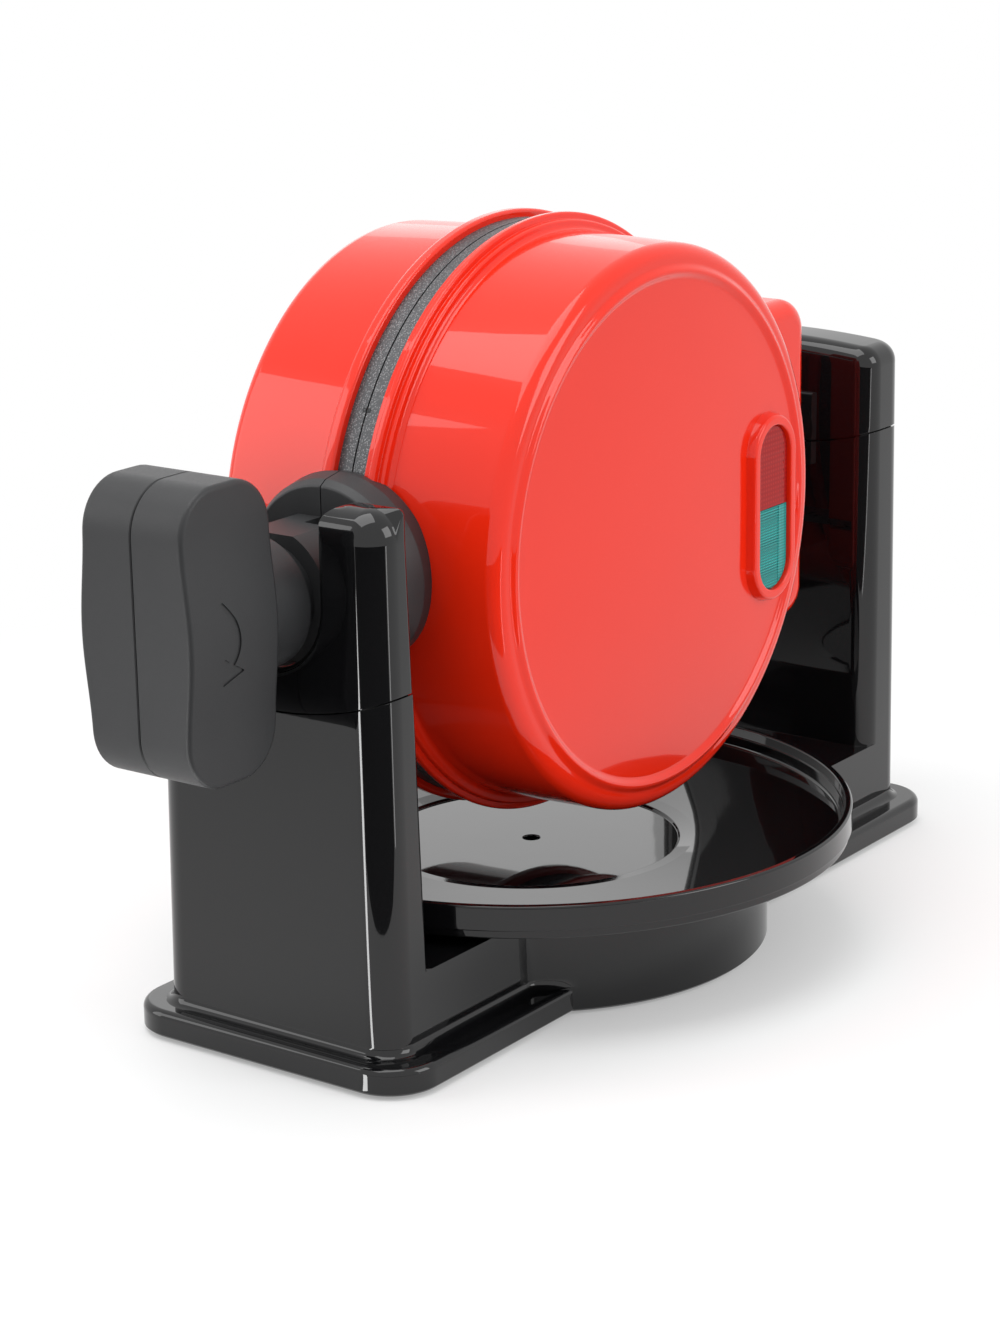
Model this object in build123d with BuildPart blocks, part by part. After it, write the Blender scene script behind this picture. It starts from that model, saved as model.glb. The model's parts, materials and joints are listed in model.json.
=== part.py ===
"""Flip waffle maker: a round head on a level shaft, in a stand with a drip tray.

Millimetres. The origin is on the floor, in the middle of the footprint. +Z is up, the grip faces -Y, and
the lid with its lamps faces +X. The head stands on edge, half way through its flip.
"""
from build123d import *
from math import cos, radians, sin, sqrt
import os

os.makedirs("parts", exist_ok=True)

# Overlap that fuses the solids of one piece, and how far cuts run past what they cut
fuse = 1.0
cut_past = 40.0

# Reach of the machine before and behind the middle of its head
front_reach = 202.0
rear_reach = 192.1
head_y = (front_reach - rear_reach) / 2

# Stand
foot_height = 1.5
foot_radius = 9.0
shell_wall = 2.6
base_half_width = 59.4
base_corner = 17.9
base_front = 153.8
flange_height = 9.0
flange_round = 2.6
beam_half_width = 49.0
beam_height = 34.0
pedestal_radius = 84.5
pedestal_height = 35.4
deck_height = 31.0
cover_thickness = 2.0
cover_gap = 0.3
cover_post_x = 44.0
cover_post_front = 121.8
cover_post_rear = 162.1
foot_x = 44.0
foot_inset = 14.0
foot_edge = 0.5

# Towers: distances from the head's middle, and heights against the shaft
front_foot_face = 145.4
front_top_face = 143.7
front_foot_back = 124.8
front_top_back = 127.8
front_corner = 10.7
tower_top_half_width = 46.6
arm_rise = 32.0
arm_round = 4.5
front_seam_drop = 36.0
front_seam_radius = 135.0
rear_foot_face = 155.0
rear_foot_back = 183.0
rear_lean = 0.8
rear_inner_corner = 8.0
rear_rise = 38.6
rear_round = 6.5
rear_arch_radius = 380.0
rear_seam_drop = 3.0
rear_seam_radius = 165.0
seam_gap = 0.3
cap_top_wall = 3.2
rear_ceiling = 5.2
deck_drop = 7.0
post_radius = 4.0
shelf_thickness = 3.0
shelf_gap = 26.0
cap_post_x = 35.0
cap_post_front = 136.0
cap_post_rear = 169.5
cap_screw_length = 14.0
cover_screw_length = 6.5
screw_head_height = 1.3
vent_pitch = 9.0
vent_count = 7
vent_length = 40.0
vent_width = 3.0
inlet_height = 24.0
inlet_radius = 7.0
inlet_bore = 3.6
grommet_lip = 2.0
grommet_root = 6.0
grommet_edge = 0.8
terminal_block_x = 24.0
terminal_block_y = 120.0
terminal_block_length = 28.0
terminal_block_width = 16.0
terminal_block_height = 14.0
terminal_block_corner = 2.0
terminal_pitch = 9.0
terminal_count = 3
terminal_well_radius = 2.4
terminal_well = 6.0

# Head: radii about the lid's axis, distances from the parting plane
axis_height = 155.4
flange_radius = 103.9
flange_step = 1.2
lip_round = 1.6
lip_lead = 0.8
flange_inner_x = 6.0
flange_outer_x = 14.5
ridge_one_x = 8.4
ridge_two_x = 11.2
ridge_three_x = 13.2
wall_radius_root = 98.0
wall_radius_face = 96.6
face_x = 57.5
face_round = 5.0
bead_radius = 87.5
bead_height = 1.5
bead_half_width = 2.6
head_wall = 2.4

# Waffle plates
parting_gap = 0.3
plate_radius = 102.8
plate_seat_gap = 0.3
cup_radius = 92.0
cup_draft = 2.5
cup_floor_x = 9.5
plate_thickness = 3.0
cup_wall = 1.0
stud_pitch = 15.5
stud_size = 9.4
stud_height = 5.5
stud_draft = 14.0
stud_field_radius = 80.0
stud_rows = 6
rib_width = 5.4
heater_radius = 62.0
heater_tube_radius = 3.2
heater_opening = 40.0
terminal_length = 12.0
terminal_gap = 1.0
shield_x = 21.0
shield_radius = 84.0
shield_thickness = 0.8
plate_post_radius = 4.0
plate_post_circle = 38.0
plate_screw_circle = 98.2
plate_screw_angles = (30, 150, 210, 330)
plate_screw_length = 12.0
shield_lip = 3.0
shield_screw_length = 7.0
thermostat_y = -48.0
thermostat_radius = 8.5
thermostat_can = 7.0
thermostat_cap = 3.5
thermostat_cap_length = 14.4
thermostat_cap_width = 8.5
thermostat_cap_corner = 1.0
fuse_radius = 2.2
fuse_length = 16.0
fuse_drop = 44.0
fuse_y = 6.0
screw_shank = 1.5
screw_head = 3.0
screw_head_gap = 0.3

# Hinge box, arms and pin
box_outer_x = 38.0
box_back_y = 127.0
box_half_height = 60.0
box_corner = 12.0
box_edge_round = 6.0
box_root_y = 50.0
pin_x = 22.0
pin_y = 117.0
pin_radius = 2.5
pin_half_length = 54.0
pin_clearance = 0.08
pin_chamfer = 0.5
float_travel = 6.0
arm_z = 40.0
arm_thickness = 3.0
arm_half_width = 6.0
arm_root_x = 33.0
arm_slot_gap = 0.6
block_z = 43.0
block_height = 7.0
clip_radius = 4.6
clip_thickness = 1.0
clip_z = 50.6
block_depth = 14.0
block_shift = 0.4
block_gap = 0.02
bracket_screw_z = 18.0
arm_tip_x = 33.5

# Rear pivot
carrier_web_y = 137.0
carrier_web = 4.0
carrier_edge = 1.0
carrier_half_height = 14.0
carrier_inner_x = 15.0
carrier_outer_x = 36.0
shaft_radius = 11.0
shaft_bore = 6.0
shaft_end_y = 178.5
shaft_clearance = 0.08
bearing_radius = 15.0
bearing_flange = 17.6
bearing_y = 155.0
bearing_length = 3.7
bearing_flange_thickness = 1.4
bearing_cut_lead = 5.0
bearing_seat_reach = 10.0
sleeve_radius = 14.5
disc_y = 161.5
disc_radius = 18.0
disc_thickness = 4.0
notch_radius = 3.2
notch_lift = 0.9
nut_radius = 16.0
nut_thickness = 4.0
nut_y = 168.0
sleeve_length = 13.6

# Detent plunger
plunger_radius = 2.5
plunger_lift = 0.3
plunger_length = 12.0
collar_seat_rise = 3.0
plunger_collar_radius = 4.2
plunger_collar = 1.4
spring_radius = 3.9
spring_length = 3.4
spring_play = 0.4
guide_clearance = 0.06
guide_half_width = 7.0

# Handle stem, collar and grip
collar_rear = 95.5
collar_widest = 103.0
collar_front = 112.5
collar_radius = 33.3
collar_front_radius = 30.7
collar_rear_step = 1.5
collar_chamfer = 1.2
collar_chamfer_length = 3.0
seam_half = 0.2
journal_radius = 22.2
cradle_clearance = 0.3
journal_flat = 20.2
journal_front = 138.0
groove_radius = 17.0
groove_front = 145.0
neck_radius = 21.4
grip_rear = 161.0
tab_front = 120.6
tab_thickness = 3.5
tab_gap = 0.3
tab_relief = 1.3
stem_bore = 6.0
stem_screw_x = 17.0
stem_screw_z = 7.0
grip_half_height = 47.0
grip_corner = 16.0
grip_half_end = 20.1
grip_half_middle = 22.5
grip_swell = 34.0
grip_wall = 3.0
grip_seam = 0.4
grip_core_inset = 22.0
grip_core_half_height = 34.0
grip_core_gap = 2.0
grip_core_corner = 3.0
grip_screw_places = [(-180.0, 24.0), (-180.0, -24.0)]
grip_screw_length = 12.0
arrow_depth = 0.6
arrow_width = 1.4
arrow_shaft = [(-186.9, 10.9), (-180.9, 0.6), (-183.2, -7.6)]
arrow_head = [(-187.2, -5.8), (-187.6, -14.6), (-177.6, -11.4)]
stem_screw_seat = 4.0
stem_screw_head = 2.0
stem_screw_bite = 8.0
swing_relief_x = 10.0
swing_relief = 0.7

# Lamp window on the lid's face
lamp_y = 65.4
lamp_drop = 4.6
lens_width = 20.5
lens_height = 59.5
bezel_rim = 3.4
bezel_flare = 1.2
bezel_round = 0.9
bezel_height = 4.2
lens_proud = 2.6
lens_thickness = 2.4
lens_clearance = 0.1
window_step = 0.5
holder_wall = 2.0
holder_room = 1.0
lamp_tip_flat = 0.2
holder_x = 40.0
lamp_bulb_radius = 3.0
lamp_bulb_length = 12.0

# Drip tray
tray_radius = 114.4
tray_wall = 3.0
tray_rim_height = 11.5
tray_dish = 7.4
tray_floor = 2.2
tray_disc_radius = 52.5
tray_disc_drop = 15.8
tray_step_radius = 58.5
tray_step_rise = 1.6
tray_hole_radius = 3.0
tray_foot_inner = 74.0
tray_foot_outer = 78.0
tray_gap = 0.2
dish_round = 3.0
rim_web = 1.0
rim_round = 1.2
lid_clearance = 0.8

# Heights that follow
floor_of_base = foot_height
rim_top = axis_height - flange_radius - lid_clearance
disc_top = rim_top - tray_disc_drop
seat_top = floor_of_base + deck_height
disc_middle_y = disc_y + disc_thickness / 2
plunger_tip = axis_height + disc_radius + plunger_lift
tip_middle = plunger_tip + plunger_radius
guide_bottom = tip_middle + collar_seat_rise + plunger_collar + spring_length
cover_posts = [(x, y) for x in (-cover_post_x, cover_post_x) for y in (-cover_post_front, cover_post_rear)]
feet = [(x, y) for x in (-foot_x, foot_x) for y in (-base_front + foot_inset, rear_reach - foot_inset)]
box_inner_x = flange_outer_x + head_wall
lamp_places = [(lamp_y, -lamp_drop + lens_height / 4), (lamp_y, -lamp_drop - lens_height / 4)]

round_axis = Axis((0, head_y, axis_height), (1, 0, 0))
flip_axis = Axis((0, head_y, axis_height), (0, 1, 0))
upright_axis = Axis((0, head_y, 0), (0, 0, 1))


def across(x):
    """Plane at x, square to the lid's axis: local x runs back and local y up from the head's middle."""
    return Plane(origin=(x, head_y, axis_height), x_dir=(0, 1, 0), z_dir=(1, 0, 0))


def facing(y):
    """Plane y behind the head's middle, facing the front: local x runs to the lid and local y up."""
    return Plane(origin=(0, head_y + y, axis_height), x_dir=(1, 0, 0), z_dir=(0, -1, 0))


def upright(y, height=0.0):
    """Plane like facing(y), but with local y counted from a height above the floor."""
    return Plane(origin=(0, head_y + y, height), x_dir=(1, 0, 0), z_dir=(0, -1, 0))


def level(z):
    """Level plane z above the floor, with the head's middle over its origin."""
    return Plane(origin=(0, head_y, z))


def finish(part, name):
    """Labels a finished piece and writes it under the same name."""
    part.label = name
    export_step(part, f"parts/{name}.step")


def tower_outline(half_width, near, far, near_corner, far_corner):
    """Rounded tower section between two distances, with one radius at each of its two sides."""
    with BuildSketch() as outline:
        with Locations((0, (near + far) / 2)):
            Rectangle(2 * half_width, abs(far - near))
        fillet(outline.vertices().group_by(Axis.Y)[0], near_corner)
        if far_corner:
            fillet(outline.vertices().group_by(Axis.Y)[-1], far_corner)
    return outline.sketch


def foot_ring_root(radius):
    """Height just inside the sloping floor of the tray, at a radius of its underside."""
    run = (radius - tray_step_radius) / (tray_radius - tray_wall - tray_step_radius)
    low = disc_top + tray_step_rise - tray_floor
    return low + run * (rim_top - tray_dish - tray_floor - low)


def seam_cutter(height, radius, y):
    """Block above a gently arched seam, long enough to cut a tower right through."""
    with BuildPart() as cutter:
        with BuildSketch(upright(y)):
            with BuildLine():
                reach = beam_half_width + cut_past / 2
                rise = radius - sqrt(radius**2 - reach**2)
                top = height + front_reach
                ThreePointArc((-reach, height + rise), (0, height), (reach, height + rise))
                Polyline((reach, height + rise), (reach, top), (-reach, top), (-reach, height + rise))
            make_face()
        extrude(amount=cut_past, both=True)
    return cutter.part


# Stand shell

tower_root = floor_of_base + flange_height - fuse
front_seam = axis_height - front_seam_drop
rear_seam = axis_height - rear_seam_drop
front_top = axis_height + arm_rise
rear_top = axis_height + rear_rise
base_middle = (rear_reach - base_front) / 2
base_length = rear_reach + base_front
beam_middle = (rear_foot_back - front_foot_face) / 2
beam_length = rear_foot_back + front_foot_face

with BuildPart() as front_tower:
    with BuildSketch(level(tower_root)):
        add(tower_outline(beam_half_width, -front_foot_face, -front_foot_back, front_corner, 0))
    with BuildSketch(level(front_top)):
        add(tower_outline(tower_top_half_width, -front_top_face, -front_top_back, front_corner, 0))
    loft(ruled=True)
    top_edges = front_tower.faces().sort_by(Axis.Z)[-1].edges()
    fillet(top_edges.sort_by(Axis.Y)[:-1], arm_round)

with BuildPart() as front_hollow:
    with BuildSketch(level(floor_of_base + cover_thickness)):
        add(
            tower_outline(
                beam_half_width - shell_wall,
                -front_foot_face + shell_wall,
                -front_foot_back - shell_wall,
                front_corner - shell_wall,
                0,
            )
        )
    with BuildSketch(level(front_top - cap_top_wall)):
        add(
            tower_outline(
                tower_top_half_width - shell_wall,
                -front_top_face + shell_wall,
                -front_top_back - shell_wall,
                front_corner - shell_wall,
                0,
            )
        )
    loft(ruled=True)

with BuildPart() as rear_tower:
    with BuildSketch(level(tower_root)):
        add(
            tower_outline(
                beam_half_width, rear_foot_face, rear_foot_back, rear_inner_corner, front_corner
            )
        )
    with BuildSketch(level(rear_top)):
        add(
            tower_outline(
                beam_half_width - rear_lean,
                rear_foot_face + rear_lean,
                rear_foot_back - rear_lean,
                rear_inner_corner,
                front_corner,
            )
        )
    loft(ruled=True)
    with BuildSketch(facing(rear_foot_face)) as arch:
        with Locations((0, rear_rise - rear_arch_radius)):
            Circle(rear_arch_radius)
    extrude(amount=2 * cut_past, both=True, mode=Mode.INTERSECT)
    fillet(rear_tower.faces().sort_by(Axis.Z)[-1].edges(), rear_round)

with BuildPart() as rear_hollow:
    with BuildSketch(level(floor_of_base + cover_thickness)):
        add(
            tower_outline(
                beam_half_width - shell_wall,
                rear_foot_face + shell_wall,
                rear_foot_back - shell_wall,
                rear_inner_corner - shell_wall,
                front_corner - shell_wall,
            )
        )
    with BuildSketch(level(rear_top - rear_ceiling)):
        add(
            tower_outline(
                beam_half_width - rear_lean - shell_wall,
                rear_foot_face + rear_lean + shell_wall,
                rear_foot_back - rear_lean - shell_wall,
                rear_inner_corner - shell_wall,
                front_corner - shell_wall,
            )
        )
    loft(ruled=True)

front_deck = front_seam - deck_drop
rear_deck = rear_seam - deck_drop
front_posts = [(-cap_post_x, -cap_post_front), (cap_post_x, -cap_post_front)]
rear_posts = [(-cap_post_x, cap_post_rear), (cap_post_x, cap_post_rear)]

with BuildPart() as front_shelf:
    add(front_hollow.part)
    with BuildSketch(level(front_deck)):
        Rectangle(4 * beam_half_width, 2 * front_reach)
    extrude(amount=shelf_thickness, mode=Mode.INTERSECT)
    with BuildSketch(level(front_deck)):
        with Locations(*front_posts):
            Circle(screw_shank)
    extrude(amount=shelf_thickness, mode=Mode.SUBTRACT)

with BuildPart() as rear_shelf:
    add(rear_hollow.part)
    with BuildSketch(level(rear_deck)):
        Rectangle(4 * beam_half_width, 2 * front_reach)
        Rectangle(2 * shelf_gap, 2 * front_reach, mode=Mode.SUBTRACT)
    extrude(amount=shelf_thickness, mode=Mode.INTERSECT)
    with BuildSketch(level(rear_deck)):
        with Locations(*rear_posts):
            Circle(screw_shank)
    extrude(amount=shelf_thickness, mode=Mode.SUBTRACT)

with BuildPart() as base_body:
    with BuildSketch(level(floor_of_base)):
        with Locations((0, base_middle)):
            RectangleRounded(2 * base_half_width, base_length, base_corner)
    extrude(amount=flange_height)
    fillet(base_body.faces().sort_by(Axis.Z)[-1].edges(), flange_round)
    with BuildSketch(level(floor_of_base)):
        Circle(pedestal_radius)
    extrude(amount=pedestal_height)
    with BuildSketch(level(floor_of_base)):
        with Locations((0, beam_middle)):
            Rectangle(2 * beam_half_width, beam_length - 2 * front_corner)
    extrude(amount=beam_height)
    add(front_tower.part)
    add(rear_tower.part)
    # Recess for the tray's foot
    with BuildSketch(level(seat_top)):
        Circle(pedestal_radius - shell_wall)
    extrude(amount=pedestal_height, mode=Mode.SUBTRACT)
    # Caps sit above the seams
    add(seam_cutter(front_seam, front_seam_radius, -front_foot_face), mode=Mode.SUBTRACT)
    add(seam_cutter(rear_seam, rear_seam_radius, rear_foot_back), mode=Mode.SUBTRACT)
    # Hollow from below
    with BuildSketch(level(floor_of_base)):
        with Locations((0, base_middle)):
            RectangleRounded(
                2 * (base_half_width - shell_wall), base_length - 2 * shell_wall, base_corner - shell_wall
            )
        Circle(pedestal_radius - shell_wall)
    extrude(amount=flange_height - shell_wall, mode=Mode.SUBTRACT)
    with BuildSketch(level(floor_of_base)):
        Circle(pedestal_radius - shell_wall)
    extrude(amount=deck_height - shell_wall, mode=Mode.SUBTRACT)
    with BuildSketch(level(floor_of_base)):
        with Locations((0, beam_middle)):
            Rectangle(2 * (beam_half_width - shell_wall), beam_length - 2 * front_corner)
    extrude(amount=deck_height - shell_wall, mode=Mode.SUBTRACT)
    add(front_hollow.part, mode=Mode.SUBTRACT)
    add(rear_hollow.part, mode=Mode.SUBTRACT)
    add(front_shelf.part)
    add(rear_shelf.part)
    # Posts for the cover's screws
    with BuildSketch(level(floor_of_base + cover_thickness)):
        with Locations(*cover_posts):
            Circle(post_radius)
            Circle(screw_shank, mode=Mode.SUBTRACT)
    extrude(amount=flange_height - cover_thickness - fuse)
    # Hole for the cord's inlet
    with BuildSketch(upright(rear_foot_back, inlet_height)):
        Circle(inlet_radius)
    extrude(amount=2 * shell_wall, both=True, mode=Mode.SUBTRACT)
    # Seat of the shaft's bearing
    with BuildSketch(facing(rear_foot_face - bearing_cut_lead)):
        Circle(bearing_radius)
    extrude(amount=-bearing_seat_reach, mode=Mode.SUBTRACT)
finish(base_body.part, "base_body")

with BuildPart() as bottom_cover:
    with BuildSketch(level(floor_of_base)):
        with Locations((0, base_middle)):
            RectangleRounded(
                2 * (base_half_width - shell_wall - cover_gap),
                base_length - 2 * (shell_wall + cover_gap),
                base_corner - shell_wall - cover_gap,
            )
        Circle(pedestal_radius - shell_wall - cover_gap)
        with Locations(*cover_posts):
            Circle(screw_shank, mode=Mode.SUBTRACT)
    extrude(amount=cover_thickness)
    with BuildSketch(level(floor_of_base)):
        with GridLocations(0, vent_pitch, 1, vent_count):
            SlotOverall(vent_length, vent_width)
    extrude(amount=cover_thickness, mode=Mode.SUBTRACT)
finish(bottom_cover.part, "bottom_cover")

with BuildPart() as rubber_feet:
    with BuildSketch(level(0)):
        with Locations(*feet):
            Circle(foot_radius)
    extrude(amount=foot_height)
    fillet(rubber_feet.faces().sort_by(Axis.Z)[: len(feet)].edges(), foot_edge)
finish(rubber_feet.part, "rubber_feet")

with BuildPart() as base_screws:
    with BuildSketch(level(floor_of_base - screw_head_height)):
        with Locations(*cover_posts):
            Circle(screw_head)
    extrude(amount=screw_head_height)
    with BuildSketch(level(floor_of_base)):
        with Locations(*cover_posts):
            Circle(screw_shank)
    extrude(amount=cover_screw_length)
finish(base_screws.part, "base_screws")

# Caps of the two towers

cradle_radius = journal_radius + cradle_clearance

with BuildPart() as front_pocket:
    add(front_hollow.part)
    with BuildSketch(facing(-front_foot_face - front_corner)):
        Circle(cradle_radius + shell_wall)
        with Locations((0, arm_rise)):
            Rectangle(2 * (cradle_radius + shell_wall), 2 * arm_rise)
    extrude(amount=-cut_past, mode=Mode.SUBTRACT)

with BuildPart() as front_cap:
    add(front_tower.part)
    add(seam_cutter(front_seam + seam_gap, front_seam_radius, -front_foot_face), mode=Mode.INTERSECT)
    with BuildSketch(facing(-front_foot_face - front_corner)):
        Circle(cradle_radius)
        with Locations((0, arm_rise)):
            Rectangle(2 * cradle_radius, 2 * arm_rise)
    extrude(amount=-cut_past, mode=Mode.SUBTRACT)
    add(front_pocket.part, mode=Mode.SUBTRACT)
    with BuildSketch(level(front_deck + shelf_thickness)):
        with Locations(*front_posts):
            Circle(post_radius)
            Circle(screw_shank, mode=Mode.SUBTRACT)
    extrude(amount=front_top - cap_top_wall - front_deck - shelf_thickness + fuse)
finish(front_cap.part, "front_cap")

with BuildPart() as rear_cap:
    add(rear_tower.part)
    add(seam_cutter(rear_seam + seam_gap, rear_seam_radius, rear_foot_back), mode=Mode.INTERSECT)
    add(rear_hollow.part, mode=Mode.SUBTRACT)
    with BuildSketch(level(rear_deck + shelf_thickness)):
        with Locations(*rear_posts):
            Circle(post_radius)
            Circle(screw_shank, mode=Mode.SUBTRACT)
    extrude(amount=rear_top - cap_top_wall - rear_deck - shelf_thickness)
    # Guide of the detent plunger, hanging from the cap's ceiling
    with BuildSketch(level(guide_bottom)):
        with Locations((0, disc_middle_y)):
            Rectangle(2 * guide_half_width, 2 * guide_half_width)
    extrude(amount=rear_top - rear_ceiling - guide_bottom)
    with BuildSketch(level(guide_bottom)):
        with Locations((0, disc_middle_y)):
            Circle(plunger_radius + guide_clearance)
    extrude(amount=rear_top - rear_ceiling - guide_bottom, mode=Mode.SUBTRACT)
    with BuildSketch(facing(rear_foot_face - bearing_cut_lead)):
        Circle(bearing_radius)
    extrude(amount=-bearing_seat_reach, mode=Mode.SUBTRACT)
finish(rear_cap.part, "rear_cap")

with BuildPart() as cap_screws:
    for deck, posts in ((front_deck, front_posts), (rear_deck, rear_posts)):
        with BuildSketch(level(deck - screw_head_height)):
            with Locations(*posts):
                Circle(screw_head)
        extrude(amount=screw_head_height)
        with BuildSketch(level(deck)):
            with Locations(*posts):
                Circle(screw_shank)
        extrude(amount=cap_screw_length)
finish(cap_screws.part, "cap_screws")

# Rear pivot in the stand

with BuildPart() as shaft_bearing:
    with BuildSketch(facing(bearing_y)):
        Circle(bearing_radius)
    extrude(amount=-bearing_length)
    with BuildSketch(facing(bearing_y + bearing_length)):
        Circle(bearing_flange)
    extrude(amount=-bearing_flange_thickness)
    with BuildSketch(facing(bearing_y)):
        Circle(shaft_radius + shaft_clearance)
    extrude(amount=-bearing_length - bearing_flange_thickness, mode=Mode.SUBTRACT)
finish(shaft_bearing.part, "shaft_bearing")

with BuildPart() as cord_grommet:
    with BuildSketch(upright(rear_foot_back, inlet_height)):
        Circle(inlet_radius + grommet_lip)
    extrude(amount=-grommet_lip)
    with BuildSketch(upright(rear_foot_back, inlet_height)):
        Circle(inlet_radius)
    extrude(amount=grommet_root)
    with BuildSketch(upright(rear_foot_back + grommet_lip, inlet_height)):
        Circle(inlet_bore)
    extrude(amount=grommet_root + grommet_lip, mode=Mode.SUBTRACT)
    fillet(cord_grommet.edges().filter_by(GeomType.CIRCLE).sort_by(Axis.Y)[-1], grommet_edge)
finish(cord_grommet.part, "cord_grommet")

with BuildPart() as terminal_block:
    with BuildSketch(level(floor_of_base + cover_thickness)):
        with Locations((terminal_block_x, terminal_block_y)):
            RectangleRounded(terminal_block_length, terminal_block_width, terminal_block_corner)
    extrude(amount=terminal_block_height)
    with BuildSketch(level(floor_of_base + cover_thickness + terminal_block_height)):
        with Locations((terminal_block_x, terminal_block_y)):
            with GridLocations(terminal_pitch, 0, terminal_count, 1):
                Circle(terminal_well_radius)
    extrude(amount=-terminal_well, mode=Mode.SUBTRACT)
finish(terminal_block.part, "terminal_block")

with BuildPart() as detent_plunger:
    with BuildSketch(upright(disc_middle_y)):
        with BuildLine():
            seat = tip_middle + collar_seat_rise
            top = tip_middle + plunger_length
            CenterArc((0, tip_middle), plunger_radius, 270, 90)
            Polyline(
                (plunger_radius, tip_middle),
                (plunger_radius, seat),
                (plunger_collar_radius, seat),
                (plunger_collar_radius, seat + plunger_collar),
                (plunger_radius, seat + plunger_collar),
                (plunger_radius, top),
                (0, top),
                (0, plunger_tip),
            )
        make_face()
    revolve(axis=Axis((0, head_y + disc_middle_y, 0), (0, 0, 1)))
finish(detent_plunger.part, "detent_plunger")

with BuildPart() as detent_spring:
    with BuildSketch(level(guide_bottom - spring_length)):
        with Locations((0, disc_middle_y)):
            Circle(spring_radius)
            Circle(plunger_radius + spring_play, mode=Mode.SUBTRACT)
    extrude(amount=spring_length)
finish(detent_spring.part, "detent_spring")

# Drip tray

with BuildPart() as drip_tray:
    with BuildSketch(upright(0)):
        with BuildLine():
            inner = tray_radius - tray_wall
            dish = rim_top - tray_dish
            step = disc_top + tray_step_rise
            under_disc = disc_top - tray_floor
            Polyline(
                (tray_hole_radius, disc_top),
                (tray_disc_radius, disc_top),
                (tray_step_radius, step),
                (inner - dish_round, dish - dish_round / 4),
            )
            ThreePointArc(
                (inner - dish_round, dish - dish_round / 4),
                (inner - 0.25 * dish_round, dish + 0.4 * dish_round),
                (inner, dish + dish_round * 1.2),
            )
            Polyline((inner, dish + dish_round * 1.2), (inner, rim_top - rim_round))
            ThreePointArc(
                (inner, rim_top - rim_round),
                (inner + tray_wall / 2, rim_top),
                (tray_radius, rim_top - rim_round),
            )
            Polyline(
                (tray_radius, rim_top - rim_round),
                (tray_radius, rim_top - tray_rim_height),
                (inner, rim_top - tray_rim_height),
                (inner - rim_web, dish - tray_floor - rim_web / 2),
                (tray_foot_outer, foot_ring_root(tray_foot_outer)),
                (tray_foot_outer, seat_top + tray_gap),
                (tray_foot_inner, seat_top + tray_gap),
                (tray_foot_inner, foot_ring_root(tray_foot_inner)),
                (tray_step_radius, step - tray_floor),
                (tray_disc_radius, under_disc),
                (tray_hole_radius, under_disc),
                (tray_hole_radius, disc_top),
            )
        make_face()
    revolve(axis=upright_axis)
finish(drip_tray.part, "drip_tray")

# Head housings

housing_root_inner = wall_radius_root - head_wall


def half_envelope(ridged):
    """Outer form of one half on the lid side: flange, wall, face and hinge box, all solid."""
    lip = [(flange_inner_x, 0), (flange_inner_x, flange_radius - flange_step)]
    if ridged:
        lip += [
            (ridge_one_x, flange_radius - flange_step),
            (ridge_one_x, flange_radius),
            (ridge_two_x, flange_radius),
            (ridge_two_x, flange_radius - 2 * flange_step),
            (ridge_three_x, flange_radius - 2 * flange_step),
        ]
        flare_x = ridge_three_x
    else:
        lip += [
            (flange_inner_x + lip_lead, flange_radius),
            (ridge_two_x - lip_round, flange_radius),
            (ridge_two_x, flange_radius - lip_round),
        ]
        flare_x = ridge_two_x
    flare = flange_outer_x + head_wall / 2 - flare_x
    with BuildPart() as envelope:
        with BuildSketch(facing(0)) as section:
            with BuildLine():
                Polyline(*lip, (flare_x, wall_radius_root + flare))
                RadiusArc((flare_x, wall_radius_root + flare), (flare_x + flare, wall_radius_root), -flare)
                Polyline(
                    (flare_x + flare, wall_radius_root),
                    (face_x, wall_radius_face),
                    (face_x, bead_radius + bead_half_width),
                )
                ThreePointArc(
                    (face_x, bead_radius + bead_half_width),
                    (face_x + bead_height, bead_radius),
                    (face_x, bead_radius - bead_half_width),
                )
                Polyline((face_x, bead_radius - bead_half_width), (face_x, 0), (flange_inner_x, 0))
            make_face()
            fillet(section.vertices().sort_by_distance((face_x, wall_radius_face))[0], face_round)
        revolve(axis=round_axis)
        add(hinge_box_outer.part)
    return envelope.part


with BuildPart() as hinge_box_outer:
    with BuildSketch(across(flange_outer_x)) as outline:
        with Locations(((box_back_y + box_root_y) / 2, 0)):
            Rectangle(box_back_y - box_root_y, 2 * box_half_height)
        fillet(outline.vertices().group_by(Axis.X)[-1], box_corner)
    extrude(amount=box_outer_x - flange_outer_x)
    rim = hinge_box_outer.faces().sort_by(Axis.X)[-1].edges().sort_by(Axis.Y)[1:]
    fillet(rim, box_edge_round)

with BuildPart() as half_hollow:
    with BuildSketch(facing(0)) as section:
        with BuildLine():
            Polyline(
                (flange_inner_x, 0),
                (flange_inner_x, housing_root_inner),
                (flange_outer_x, housing_root_inner),
                (face_x - head_wall, wall_radius_face - head_wall),
                (face_x - head_wall, 0),
                (flange_inner_x, 0),
            )
        make_face()
        fillet(
            section.vertices().sort_by_distance((face_x - head_wall, wall_radius_face - head_wall))[0],
            face_round - head_wall,
        )
    revolve(axis=round_axis)
    with BuildSketch(across(box_inner_x)) as outline:
        with Locations(((box_back_y - head_wall + box_root_y) / 2, 0)):
            Rectangle(box_back_y - head_wall - box_root_y, 2 * (box_half_height - head_wall))
        fillet(outline.vertices().group_by(Axis.X)[-1], box_corner - head_wall)
    extrude(amount=box_outer_x - head_wall - box_inner_x)

lid_envelope = half_envelope(ridged=True)
fixed_envelope = mirror(half_envelope(ridged=False), about=Plane.YZ)

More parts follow.
